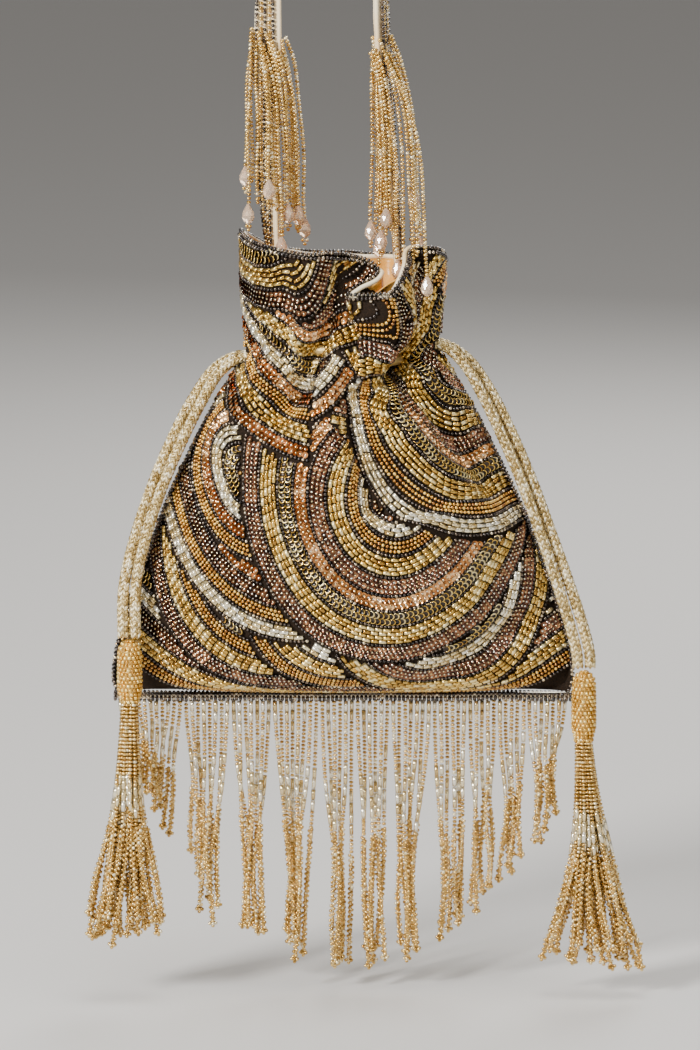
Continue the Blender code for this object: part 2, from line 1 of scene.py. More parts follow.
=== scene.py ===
"""Looks of the beaded potli bag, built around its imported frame.

Shapes are worked out in millimetres in the pouch's own frame: x across, y with the front
at -Y, and height above the bottom seam. They move to the row's frame, in metres, when a
mesh is made.
"""

import math

import bpy
import numpy as np
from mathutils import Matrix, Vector


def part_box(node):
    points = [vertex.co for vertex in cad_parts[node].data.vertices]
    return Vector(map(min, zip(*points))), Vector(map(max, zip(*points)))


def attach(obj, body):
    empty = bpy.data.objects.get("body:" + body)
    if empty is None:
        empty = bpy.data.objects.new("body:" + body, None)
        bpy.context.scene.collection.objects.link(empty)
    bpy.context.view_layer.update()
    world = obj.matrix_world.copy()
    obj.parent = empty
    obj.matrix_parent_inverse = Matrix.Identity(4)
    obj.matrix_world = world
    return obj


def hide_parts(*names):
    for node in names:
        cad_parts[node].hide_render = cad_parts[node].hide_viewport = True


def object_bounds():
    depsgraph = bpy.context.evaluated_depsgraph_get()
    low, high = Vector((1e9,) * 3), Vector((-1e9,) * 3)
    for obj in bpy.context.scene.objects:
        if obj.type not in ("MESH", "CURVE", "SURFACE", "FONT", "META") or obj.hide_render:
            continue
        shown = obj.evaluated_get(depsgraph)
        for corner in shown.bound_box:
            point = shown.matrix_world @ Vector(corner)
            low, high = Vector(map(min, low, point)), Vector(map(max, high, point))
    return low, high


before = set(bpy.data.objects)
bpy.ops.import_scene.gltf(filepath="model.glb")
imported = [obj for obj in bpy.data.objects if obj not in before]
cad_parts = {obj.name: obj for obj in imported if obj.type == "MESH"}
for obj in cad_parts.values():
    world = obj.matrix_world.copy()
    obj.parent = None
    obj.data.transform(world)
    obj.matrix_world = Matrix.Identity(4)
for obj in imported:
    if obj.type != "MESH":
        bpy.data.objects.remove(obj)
cad_low, cad_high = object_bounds()

MM = 0.001
panel_low, panel_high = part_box("front_panel")
ORIGIN = np.array(((panel_low.x + panel_high.x) / 2, 0, panel_low.z))
RANDOM = np.random.default_rng(11)

# ---------------------------------------------------------------- the pouch, as in the frame
# Height above the seam against half width, half depth and lens exponent, in millimetres.
HALF_WIDTH = ((0, 103.5), (6, 105.5), (20, 104), (43, 97), (66, 89), (90, 80), (113, 69),
              (136, 57), (150, 48), (159, 43.6), (172, 44.5), (190, 46.5), (215, 46.5))
HALF_DEPTH = ((0, 2.2), (4, 19), (12, 31), (30, 41), (55, 46), (80, 45), (105, 42),
              (130, 37), (150, 32), (159, 30), (175, 32), (215, 34))
LENS = ((0, 1.9), (110, 1.8), (150, 1.05), (215, 1.0))
RIM = ((0, 199), (20, 204), (35, 205), (50, 200), (62, 189), (72, 186), (82, 192), (93, 203),
       (110, 204), (130, 206), (150, 208), (180, 211), (200, 208), (230, 200), (270, 197),
       (310, 197), (340, 198), (360, 199))
# Folds: points (x, height), then depth (+ is outwards) and width.
FRONT_FOLDS = (
    (((1, 207), (-3, 184), (-10, 163), (-19, 145), (-29, 131)), -11.0, 5.6),
    (((-20, 139), (-8, 153), (4, 168)), 3.5, 6.0),
    (((1, 139), (14, 144), (27, 150), (40, 163)), -8.0, 5.0),
    (((36, 208), (41, 172), (35, 157), (23, 145)), -11.0, 5.2),
    (((4, 143), (6, 125), (12, 103), (15, 82)), -9.0, 6.0),
    (((14, 139), (31, 121), (58, 94), (90, 64)), 5.0, 12.0),
    (((26, 146), (40, 134), (50, 119), (72, 92)), -8.0, 6.0),
    (((97, 39), (62, 26), (38, 6)), -3.5, 7.0),
    (((-26, 162), (-42, 139), (-66, 106)), 4.0, 10.0),
    (((17, 206), (18, 182), (15, 165)), 6.0, 10.0),
    (((-29, 208), (-31, 184), (-28, 166)), 3.0, 13.0),
)
BACK_FOLDS = (
    (((-30, 205), (-25, 165), (-38, 120), (-58, 80)), -5.0, 7.0),
    (((-8, 150), (-11, 120), (-16, 80)), -4.0, 7.0),
    (((12, 205), (9, 165), (14, 120), (22, 75)), -6.0, 7.0),
    (((34, 205), (29, 165), (44, 125), (70, 85)), -5.0, 7.0),
    (((0, 205), (-5, 175), (0, 140), (4, 100)), 3.0, 9.0),
)
# The pleat that the drawstrings pull into the front of the mouth: its middle and half width
# in degrees, how far it doubles back, and how deep it lies from its right end to its left.
PLEAT_MIDDLE, PLEAT_HALF = 80, 14
PLEAT_BACK, PLEAT_FORWARD = 20, 14
PLEAT_DEPTH = ((-1, 0), (-0.7, 0.5), (-0.45, -1), (0, -6), (0.45, -11), (0.75, -12), (1, 0))
PLEAT_LOW, PLEAT_HIGH = 152, 186      # heights where it starts and is full

THROAT_WIDTH = ((112, 60), (124, 44), (140, 29), (148, 23), (166, 23), (179, 31), (190, 40),
                (198, 52), (215, 60))
THROAT_DEPTH = ((112, 39), (124, 32), (140, 20), (148, 16), (166, 16), (179, 21), (190, 30),
                (198, 40), (215, 50))
# How far the lining stands in at the sides and the front, low down, and then all round.
LINING_SIDE = ((0, 12), (60, 10), (100, 8), (150, 4))
LINING_FRONT = ((0, 13), (6, 10), (14, 6.5), (30, 5.6), (120, 5.6), (150, 4.6))
LINING_STAND = ((100, 5.7), (150, 4.7), (180, 3.3), (200, 2.4), (215, 2.2))

BEAD_COVER = 1.1              # the cloth lies this far under the outer surface
SEED = 1.85                   # pitch of the seed beads


def smooth_table(table, at):
    """Values of a table of (place, value) pairs at the places given, on one smooth curve."""
    places = np.array([row[0] for row in table], float)
    values = np.array([row[1] for row in table], float)
    steps = np.diff(values) / np.diff(places)
    slopes = np.empty(len(values))
    slopes[1:-1] = (steps[:-1] + steps[1:]) / 2
    slopes[0], slopes[-1] = steps[0], steps[-1]
    slopes[1:-1][steps[:-1] * steps[1:] <= 0] = 0
    at = np.clip(np.asarray(at, float), places[0], places[-1])
    left = np.clip(np.searchsorted(places, at) - 1, 0, len(places) - 2)
    width = places[left + 1] - places[left]
    t = (at - places[left]) / width
    return ((2 * t ** 3 - 3 * t ** 2 + 1) * values[left]
            + (t ** 3 - 2 * t ** 2 + t) * width * slopes[left]
            + (3 * t ** 2 - 2 * t ** 3) * values[left + 1]
            + (t ** 3 - t ** 2) * width * slopes[left + 1])


def smooth_line(points, spacing):
    """Points at an even spacing on one smooth curve through the points given."""
    points = np.array(points, float)
    lengths = np.linalg.norm(np.diff(points[:, :3], axis=0), axis=1)
    along = np.concatenate(([0], np.cumsum(lengths)))
    fine = np.linspace(0, along[-1], 400)
    curve = np.stack([smooth_table(list(zip(along, column)), fine)
                      for column in points.T], axis=1)
    return even_line(curve, spacing)


def even_line(curve, spacing):
    """The same line with points at an even spacing."""
    steps = np.linalg.norm(np.diff(curve[:, :3], axis=0), axis=1)
    reach = np.concatenate(([0], np.cumsum(steps)))
    count = max(2, round(reach[-1] / spacing) + 1)
    even = np.linspace(0, reach[-1], count)
    return np.stack([np.interp(even, reach, column) for column in curve.T], axis=1)


def ease(value):
    """0 to 1, with a soft start and end."""
    value = np.clip(value, 0, 1)
    return value * value * (3 - 2 * value)


def unit(vectors):
    return vectors / np.maximum(np.linalg.norm(vectors, axis=-1, keepdims=True), 1e-9)


def fold_depth(folds, x, height):
    """Sum of the folds at points of a panel: each falls off across its line and at its ends."""
    total = np.zeros(np.shape(x))
    for line, depth, width in folds:
        line = np.array(line, float)
        reach = np.concatenate(([0], np.cumsum(np.linalg.norm(np.diff(line, axis=0), axis=1))))
        nearest = np.full(np.shape(x), 1e9)
        place = np.zeros(np.shape(x))
        for i, (start, end) in enumerate(zip(line[:-1], line[1:])):
            side = end - start
            t = ((x - start[0]) * side[0] + (height - start[1]) * side[1]) / (side @ side)
            t = np.clip(t, 0, 1)
            far = np.hypot(x - start[0] - t * side[0], height - start[1] - t * side[1])
            closer = far < nearest
            nearest = np.where(closer, far, nearest)
            place = np.where(closer, reach[i] + t * (reach[i + 1] - reach[i]), place)
        taper = ease(np.minimum(place, reach[-1] - place) / (1.6 * width))
        total += depth * (0.35 + 0.65 * taper) * np.exp(-(nearest / width) ** 2)
    return total


def pouch(angle, share, pleat=True, inset=(0, 0)):
    """Points of the pouch's outer surface. angle runs in radians from +X through the front;
    share is 0 at the bottom seam and 1 at the rim. inset narrows it and makes it shallower."""
    angle, share = np.broadcast_arrays(np.asarray(angle, float), np.asarray(share, float))
    degrees = np.degrees(angle) % 360.0001
    height = share * smooth_table(RIM, degrees)
    wide = smooth_table(HALF_WIDTH, height) - inset[0]
    deep = smooth_table(HALF_DEPTH, height) - inset[1]
    power = smooth_table(LENS, height)
    within = np.clip((degrees - PLEAT_MIDDLE) / PLEAT_HALF, -1, 1)
    full = ease((height - PLEAT_LOW) / (PLEAT_HIGH - PLEAT_LOW)) * pleat
    swing = -np.sin(math.pi * within) * np.where(within > 0, PLEAT_BACK, PLEAT_FORWARD)
    turned = angle + np.radians(swing) * full
    cosine, sine = np.cos(turned), np.sin(turned)
    x = wide * cosine
    y = -deep * np.sign(sine) * np.abs(sine) ** power
    outward_x, outward_y = cosine / wide, -sine / deep
    size = np.hypot(outward_x, outward_y)
    depth = np.where(sine >= 0, fold_depth(FRONT_FOLDS, x, height),
                     fold_depth(BACK_FOLDS, x, height))
    depth *= np.clip((np.abs(sine) - 0.2) * 2.5, 0, 1) * np.clip(height / 12, 0, 1)
    depth *= 1 - full * (np.abs(within) < 1) * (1 - within ** 4)
    depth += gathers(angle, height)
    depth += full * smooth_table(PLEAT_DEPTH, within)
    return np.stack((x + depth * outward_x / size, y + depth * outward_y / size, height), axis=-1)


def gathers(angle, height):
    """The fine gathers that the drawstrings pull into the cloth round the casing."""
    near = np.exp(-((height - 157) / 17) ** 2)
    back = ease(-2 * np.sin(angle) + 0.6)
    waves = np.sin(19 * angle + 0.6 * np.sin(5 * angle)) + 0.5 * np.sin(31 * angle + 1.3)
    hang = 0.5 * np.exp(-((height - 60) / 45) ** 2) * np.sin(5 * angle + height / 31)
    return near * waves * (0.5 + 0.9 * back) + hang


# ---------------------------------------------------------------- meshes
def to_row(points):
    return np.asarray(points) * MM + ORIGIN


def make_mesh(name, points, faces, material, flat=None):
    """A mesh from points in millimetres and arrays of faces; flat marks the flat faces."""
    mesh = bpy.data.meshes.new(name)
    mesh.vertices.add(len(points))
    mesh.vertices.foreach_set("co", to_row(points).astype(np.float32).ravel())
    corners = np.concatenate([group.ravel() for group in faces]).astype(np.int32)
    sizes = np.concatenate([np.full(len(group), group.shape[1]) for group in faces])
    starts = np.concatenate(([0], np.cumsum(sizes)[:-1])).astype(np.int32)
    mesh.loops.add(len(corners))
    mesh.loops.foreach_set("vertex_index", corners)
    mesh.polygons.add(len(sizes))
    mesh.polygons.foreach_set("loop_start", starts)
    smooth = np.ones(len(sizes), bool) if flat is None else ~flat
    mesh.polygons.foreach_set("use_smooth", smooth)
    mesh.update(calc_edges=True)
    mesh.materials.append(material)
    obj = bpy.data.objects.new(name, mesh)
    bpy.context.scene.collection.objects.link(obj)
    return obj


def settle(obj, body="root", replaces=()):
    """Hangs a finished piece on the body it rides on and hides the parts that it stands for."""
    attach(obj, body)
    if replaces:
        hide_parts(*replaces)
    return obj


def grid_faces(rows, columns, closed=False):
    """Quads of a grid of points [row][column], joined at its ends if it is closed."""
    across = columns if closed else columns - 1
    r, c = np.meshgrid(np.arange(rows - 1), np.arange(across), indexing="ij")
    low, high = r * columns, (r + 1) * columns
    after = (c + 1) % columns
    return np.stack((low + c, low + after, high + after, high + c), axis=-1).reshape(-1, 4)


def ring_template(profile, sides):
    """A turned bead along x: a profile of (x, radius) with closed ends."""
    points, faces = [], []
    for x, radius in profile:
        for i in range(sides):
            a = math.tau * i / sides
            points.append((x, radius * math.cos(a), radius * math.sin(a)))
    for r in range(len(profile) - 1):
        for i in range(sides):
            j = (i + 1) % sides
            low, high = r * sides, (r + 1) * sides
            faces += [(low + i, low + j, high + j), (low + i, high + j, high + i)]
    ends = [(0, i + 1, i) for i in range(1, sides - 1)]
    last = (len(profile) - 1) * sides
    ends += [(last, last + i, last + i + 1) for i in range(1, sides - 1)]
    flat = np.array([False] * len(faces) + [True] * len(ends))
    return np.array(points), np.array(faces + ends), flat


def seed_template():
    """A round seed bead one unit across."""
    g = (1 + 5 ** 0.5) / 2
    points = np.array([(-1, g, 0), (1, g, 0), (-1, -g, 0), (1, -g, 0), (0, -1, g), (0, 1, g),
                       (0, -1, -g), (0, 1, -g), (g, 0, -1), (g, 0, 1), (-g, 0, -1), (-g, 0, 1)])
    faces = np.array([(0, 11, 5), (0, 5, 1), (0, 1, 7), (0, 7, 10), (0, 10, 11), (1, 5, 9),
                      (5, 11, 4), (11, 10, 2), (10, 7, 6), (7, 1, 8), (3, 9, 4), (3, 4, 2),
                      (3, 2, 6), (3, 6, 8), (3, 8, 9), (4, 9, 5), (2, 4, 11), (6, 2, 10),
                      (8, 6, 7), (9, 8, 1)])
    return points / (2 * math.hypot(1, g)), faces, np.zeros(len(faces), bool)


def dot_template():
    """The top of a small bead in the middle of a sequin, in a bright pale colour that also paints
    the highlight at the sequin's hole.
    """
    turn = math.tau * np.arange(5) / 5
    ring = np.stack((0.5 * np.cos(turn), 0.5 * np.sin(turn), np.zeros(5)), axis=1)
    points = np.concatenate((ring, ((0, 0, 0.7),)))
    return points, np.array([(i, (i + 1) % 5, 5) for i in range(5)]), np.zeros(5, bool)


def cup_template():
    """A cup sequin one unit across, open towards +z, with its thread hole filled."""
    sides = 8
    points = [(0, 0, -0.13)]
    for radius, z in ((0.24, -0.13), (0.5, 0.02)):
        for i in range(sides):
            a = math.tau * (i + 0.5) / sides
            points.append((radius * math.cos(a), radius * math.sin(a), z))
    faces = []
    for i in range(sides):
        j = (i + 1) % sides
        inner, outer = 1, 1 + sides
        faces += [(0, inner + i, inner + j), (inner + i, outer + i, outer + j),
                  (inner + i, outer + j, inner + j)]
    return np.array(points), np.array(faces), np.zeros(len(faces), bool)


def crescent_template():
    """The gilt rim of an overlapped sequin: an open ring one unit across."""
    points, faces = [], []
    for i, a in enumerate(np.radians(np.linspace(-125, 125, 9))):
        thick = 0.13 * math.cos(0.62 * a)
        for radius, z in ((0.5, 0), (0.5 - thick, 0.09), (0.5 - 2 * thick, 0)):
            points.append((radius * math.cos(a), radius * math.sin(a), z))
        if i:
            low, high = 3 * i - 3, 3 * i
            for k in range(3):
                m = (k + 1) % 3
                faces += [(low + k, high + k, high + m), (low + k, high + m, low + m)]
    return np.array(points), np.array(faces), np.zeros(len(faces), bool)


TEMPLATES = {
    "seed": seed_template(),
    "barrel": ring_template(((-0.4, 0.33), (-0.18, 0.5), (0.18, 0.5), (0.4, 0.33)), 6),
    "bugle": ring_template(((-0.5, 0.5), (0.5, 0.5)), 6),
    "stitch": ring_template(((-0.5, 0.12), (-0.2, 0.5), (0.2, 0.5), (0.5, 0.12)), 4),
    "dot": dot_template(),
    "cup": cup_template(),
    "crescent": crescent_template(),
}


class Batch:
    """Many copies of small templates that become one mesh."""

    def __init__(self):
        self.points, self.faces, self.flat, self.count = [], [], [], 0

    def add(self, template, centres, axes, size):
        """Copies at centres; axes are the rows (along, across, up) of each; size is one
        triple for all or one for each."""
        points, faces, flat = TEMPLATES[template]
        number = len(centres)
        if not number:
            return
        size = np.broadcast_to(np.asarray(size, float), (number, 3))
        local = points[None] * size[:, None]
        placed = np.einsum("nvi,nij->nvj", local, axes) + np.asarray(centres)[:, None]
        steps = self.count + len(points) * np.arange(number)
        self.points.append(placed.reshape(-1, 3))
        self.faces.append((faces[None] + steps[:, None, None]).reshape(-1, 3))
        self.flat.append(np.tile(flat, number))
        self.count += number * len(points)

    def add_grid(self, points, closed=False):
        """A grid of points [row][column] as triangles."""
        rows, columns = points.shape[:2]
        quads = grid_faces(rows, columns, closed) + self.count
        self.points.append(points.reshape(-1, 3))
        self.faces.append(np.concatenate((quads[:, :3], quads[:, [0, 2, 3]])))
        self.flat.append(np.zeros(2 * len(quads), bool))
        self.count += rows * columns

    def make(self, name, material):
        return make_mesh(name, np.concatenate(self.points), [np.concatenate(self.faces)],
                         material, np.concatenate(self.flat))


def line_axes(points, up=(0, 0, 1)):
    """Axes along a line: its tangent, across, and up kept as near to the direction given."""
    tangent = unit(np.gradient(points, axis=0))
    up = np.broadcast_to(np.asarray(up, float), points.shape)
    across = unit(np.cross(up, tangent))
    return np.stack((tangent, across, np.cross(tangent, across)), axis=1)


def rolled(axes, turns):
    """Axes turned about their first one, in radians."""
    c, s = np.cos(turns)[:, None], np.sin(turns)[:, None]
    return np.stack((axes[:, 0], c * axes[:, 1] + s * axes[:, 2],
                     c * axes[:, 2] - s * axes[:, 1]), axis=1)


def tube(points, radius, sides, up=(0, 0, 1)):
    """Grid of points round a line, with radius one number or one for each point."""
    axes = line_axes(points, up)
    radius = np.broadcast_to(radius, len(points))
    turns = np.linspace(0, math.tau, sides, endpoint=False)
    spokes = (np.cos(turns)[None, :, None] * axes[:, None, 1]
              + np.sin(turns)[None, :, None] * axes[:, None, 2])
    return points[:, None] + radius[:, None, None] * spokes


# ---------------------------------------------------------------- materials
def new_material(name, colour, metallic, roughness):
    material = bpy.data.materials.new(name)
    material.use_nodes = True
    shader = material.node_tree.nodes["Principled BSDF"]
    shader.inputs["Base Color"].default_value = (*colour, 1)
    shader.inputs["Metallic"].default_value = metallic
    shader.inputs["Roughness"].default_value = roughness
    return material, material.node_tree, shader


def ramp(tree, factor, stops):
    """A colour ramp over stops of (place, colour), fed by a socket."""
    node = tree.nodes.new("ShaderNodeValToRGB")
    elements = node.color_ramp.elements
    while len(elements) < len(stops):
        elements.new(0.5)
    for element, (place, colour) in zip(elements, stops):
        element.position = place
        element.color = (*colour, 1)
    tree.links.new(factor, node.inputs["Fac"])
    return node.outputs["Color"]


def noise(tree, scale, detail=3, coordinates=None):
    node = tree.nodes.new("ShaderNodeTexNoise")
    node.inputs["Scale"].default_value = scale
    node.inputs["Detail"].default_value = detail
    if coordinates is None:
        coordinates = tree.nodes.new("ShaderNodeTexCoord").outputs["Object"]
    tree.links.new(coordinates, node.inputs["Vector"])
    return node.outputs["Fac"]


def map_range(tree, value, low, high):
    """A 0 to 1 value as a range."""
    node = tree.nodes.new("ShaderNodeMapRange")
    node.inputs["To Min"].default_value = low
    node.inputs["To Max"].default_value = high
    tree.links.new(value, node.inputs["Value"])
    return node.outputs["Result"]


def bump(tree, shader, height, strength, distance):
    node = tree.nodes.new("ShaderNodeBump")
    node.inputs["Strength"].default_value = strength
    node.inputs["Distance"].default_value = distance
    tree.links.new(height, node.inputs["Height"])
    tree.links.new(node.outputs["Normal"], shader.inputs["Normal"])


def bead_material(name, stops, metallic, roughness, coat=0.0):
    """Lined glass or metal beads: each bead takes its own shade and gloss."""
    material, tree, shader = new_material(name, stops[0][1], metallic, roughness[0])
    island = tree.nodes.new("ShaderNodeNewGeometry").outputs["Random Per Island"]
    tree.links.new(ramp(tree, island, stops), shader.inputs["Base Color"])
    tree.links.new(map_range(tree, island, *roughness), shader.inputs["Roughness"])
    shader.inputs["Coat Weight"].default_value = coat
    shader.inputs["Coat Roughness"].default_value = 0.08
    return material


def cloth_material():
    """The dark net ground under the beads, with a fine weave."""
    material, tree, shader = new_material("dark_ground", (0.012, 0.007, 0.004), 0.0, 0.9)
    weave = noise(tree, 2400, 2)
    tree.links.new(ramp(tree, weave, ((0.3, (0.003, 0.002, 0.001)), (0.7, (0.028, 0.015, 0.007)))),
                   shader.inputs["Base Color"])
    bump(tree, shader, weave, 0.5, 0.0003)
    shader.inputs["Specular IOR Level"].default_value = 0.2
    return material


def satin_material(name, light, deep):
    """Satin: soft broad shine, slight slubs along the weave, and painted shade: noise blends the
    light tone with a shaded, deeper copy for the tone of the folds.
    """
    material, tree, shader = new_material(name, light, 0.0, 0.36)
    stretch = tree.nodes.new("ShaderNodeMapping")
    stretch.inputs["Scale"].default_value = (1, 1, 9)
    tree.links.new(tree.nodes.new("ShaderNodeTexCoord").outputs["Object"],
                   stretch.inputs["Vector"])
    slub = noise(tree, 260, 4, stretch.outputs["Vector"])
    # painted shade: the deep colour is a shaded copy of the light one, laid in broad noise
    # blotches
    tree.links.new(ramp(tree, noise(tree, 45, 3), ((0.32, deep), (0.66, light))),
                   shader.inputs["Base Color"])
    tree.links.new(map_range(tree, slub, 0.26, 0.46), shader.inputs["Roughness"])
    bump(tree, shader, slub, 0.25, 0.0004)
    shader.inputs["Sheen Weight"].default_value = 0.4
    shader.inputs["Sheen Roughness"].default_value = 0.3
    shader.inputs["Specular IOR Level"].default_value = 0.6
    return material


def zari_material():
    """Metallic yarn: every stitch takes its own shade between pale and old gold."""
    material = bead_material("zari_yarn", (
        (0.0, (0.34, 0.22, 0.07)), (0.35, (0.62, 0.46, 0.19)), (0.75, (0.84, 0.69, 0.38)),
        (1.0, (1.0, 0.92, 0.68))), 0.65, (0.28, 0.46))
    tree = material.node_tree
    bump(tree, tree.nodes["Principled BSDF"], noise(tree, 3800, 2), 0.5, 0.0002)
    return material


def crystal_material():
    """Peach coated cut glass."""
    material, tree, shader = new_material("peach_crystal", (1.0, 0.70, 0.46), 0.0, 0.03)
    island = tree.nodes.new("ShaderNodeNewGeometry").outputs["Random Per Island"]
    tree.links.new(ramp(tree, island, ((0.0, (0.98, 0.66, 0.42)), (1.0, (1.0, 0.84, 0.66)))),
                   shader.inputs["Base Color"])
    shader.inputs["Transmission Weight"].default_value = 0.7
    shader.inputs["IOR"].default_value = 1.56
    shader.inputs["Coat Weight"].default_value = 0.8
    shader.inputs["Coat Roughness"].default_value = 0.02
    return material


MATERIALS = {
    "seed": bead_material("dark_silver_seeds", (
        (0.0, (0.012, 0.008, 0.006)), (0.5, (0.05, 0.034, 0.026)), (0.82, (0.17, 0.12, 0.08)),
        (1.0, (0.75, 0.62, 0.42))), 0.8, (0.1, 0.22), 1.0),
    "gold": bead_material("gold_bugles", (
        (0.0, (0.36, 0.19, 0.03)), (0.3, (0.62, 0.39, 0.08)), (0.7, (0.86, 0.60, 0.17)),
        (1.0, (1.0, 0.85, 0.45))), 0.9, (0.14, 0.3), 0.4),
    "pale": bead_material("pale_bugles", (
        (0.0, (0.66, 0.48, 0.20)), (0.4, (0.92, 0.78, 0.46)), (1.0, (1.0, 0.96, 0.82))),
        0.85, (0.1, 0.24), 0.6),
    "brown": bead_material("brown_sequins", (
        (0.0, (0.05, 0.016, 0.008)), (0.6, (0.17, 0.06, 0.024)), (1.0, (0.42, 0.19, 0.08))),
        0.85, (0.16, 0.32), 0.4),
    "copper": bead_material("copper_sequins", (
        (0.0, (0.34, 0.11, 0.02)), (0.6, (0.64, 0.28, 0.07)), (1.0, (1.0, 0.64, 0.32))),
        0.85, (0.14, 0.28), 0.4),
    "amber": bead_material("amber_beads", (
        (0.0, (0.30, 0.11, 0.01)), (0.5, (0.62, 0.30, 0.035)), (1.0, (0.98, 0.64, 0.16))),
        0.7, (0.12, 0.26), 0.8),
    "binding": bead_material("binding_beads", (
        (0.0, (0.52, 0.25, 0.02)), (0.5, (0.85, 0.50, 0.07)), (1.0, (1.0, 0.78, 0.26))),
        0.6, (0.12, 0.26), 0.8),
    "dark": bead_material("black_sequins", (
        (0.0, (0.008, 0.005, 0.004)), (1.0, (0.05, 0.03, 0.018))), 0.6, (0.2, 0.35), 0.4),
    "strand": bead_material("gold_seeds", (
        (0.0, (0.44, 0.25, 0.05)), (0.3, (0.66, 0.42, 0.11)), (0.8, (0.86, 0.60, 0.21)),
        (1.0, (1.0, 0.92, 0.64))), 0.85, (0.14, 0.28), 0.5),
    "ground": cloth_material(),
    # each satin's second colour is a painted shaded copy of its first
    "lining": satin_material("gold_satin", (0.80, 0.40, 0.07), (0.48, 0.19, 0.025)),
    "cream": satin_material("cream_satin", (0.96, 0.82, 0.56), (0.86, 0.62, 0.32)),
    "zari": zari_material(),
    "crystal": crystal_material(),
}


# ---------------------------------------------------------------- the cloth and its map
class Side:
    """One face of the pouch: its cloth, and a map of it in millimetres along the cloth.
    u runs from the middle of the face towards its left, seen from outside, and v from the
    bottom seam."""

    def __init__(self, name, start):
        self.name = name
        angles = start + np.linspace(0, math.pi, 321)
        shares = np.linspace(0, 1, 241)
        grid_angle, grid_share = np.meshgrid(angles, shares)
        outer = pouch(grid_angle, grid_share)
        flat = pouch(grid_angle, grid_share, pleat=False)
        self.facing = self.normals(outer)
        self.cloth = outer - BEAD_COVER * self.facing
        v = np.concatenate((np.zeros((1, len(angles))), np.cumsum(
            np.linalg.norm(np.diff(flat, axis=0), axis=2), axis=0)))
        u = np.concatenate((np.zeros((len(shares), 1)), np.cumsum(
            np.linalg.norm(np.diff(flat, axis=1), axis=2), axis=1)), axis=1)
        u -= u[:, len(angles) // 2][:, None]
        self.v_of_height = (flat[:, len(angles) // 2, 2], v[:, len(angles) // 2])
        self.resample(u, v)

    @staticmethod
    def normals(points):
        normal = np.cross(np.gradient(points, axis=0), np.gradient(points, axis=1))
        return unit(normal)

    def resample(self, u, v):
        """Puts the cloth's points and normals on an even grid of u and v, one millimetre
        apart, and one step past its edges."""
        self.v_axis = np.arange(0, v.max(), 1.0)
        self.u_axis = np.arange(np.floor(u.min()) - 1, u.max() + 2, 1.0)
        layers = np.concatenate((self.cloth, self.facing, u[..., None]), axis=2)
        by_v = np.empty((len(self.v_axis), u.shape[1], 7))
        for c in range(u.shape[1]):
            for k in range(7):
                by_v[:, c, k] = np.interp(self.v_axis, v[:, c], layers[:, c, k])
            by_v[self.v_axis > v[-1, c] + 1, c, :3] = np.nan
        self.map = np.empty((len(self.v_axis), len(self.u_axis), 6))
        for r in range(len(self.v_axis)):
            reach = by_v[r, :, 6]
            for k in range(6):
                self.map[r, :, k] = np.interp(self.u_axis, reach, by_v[r, :, k])
            self.map[r, (self.u_axis < reach[0] - 1) | (self.u_axis > reach[-1] + 1)] = np.nan

    def at(self, u, v):
        """Points and outward normals of the cloth at places of the map; NaN off its edges."""
        column = np.clip(u - self.u_axis[0], 0, len(self.u_axis) - 1.001)
        row = np.clip(v, 0, len(self.v_axis) - 1.001)
        c, r = column.astype(int), row.astype(int)
        s, t = (column - c)[:, None], (row - r)[:, None]
        field = self.map
        values = ((1 - t) * ((1 - s) * field[r, c] + s * field[r, c + 1])
                  + t * ((1 - s) * field[r + 1, c] + s * field[r + 1, c + 1]))
        off = (u < self.u_axis[0]) | (u > self.u_axis[-1]) | (v < 0) | (v > self.v_axis[-1])
        values[off] = np.nan
        return values[:, :3], unit(values[:, 3:])

    def make_cloth(self):
        """The dark ground cloth, with its thickness."""
        front = self.cloth[::4, ::5]
        back = front - 0.5 * self.facing[::4, ::5]
        rows, columns = front.shape[:2]
        quads = grid_faces(rows, columns)
        count = rows * columns
        loop = np.concatenate((np.arange(columns), columns * np.arange(2, rows + 1) - 1,
                               count - 2 - np.arange(columns - 1),
                               columns * np.arange(rows - 2, -1, -1)))
        after = np.roll(loop, -1)
        edge = np.stack((loop, loop + count, after + count, after), axis=1)
        points = np.concatenate((front.reshape(-1, 3), back.reshape(-1, 3)))
        obj = make_mesh(self.name + "_cloth", points,
                        [quads[:, ::-1], quads + count, edge[loop != after]],
                        MATERIALS["ground"])
        return settle(obj, replaces=[self.name + "_panel"])


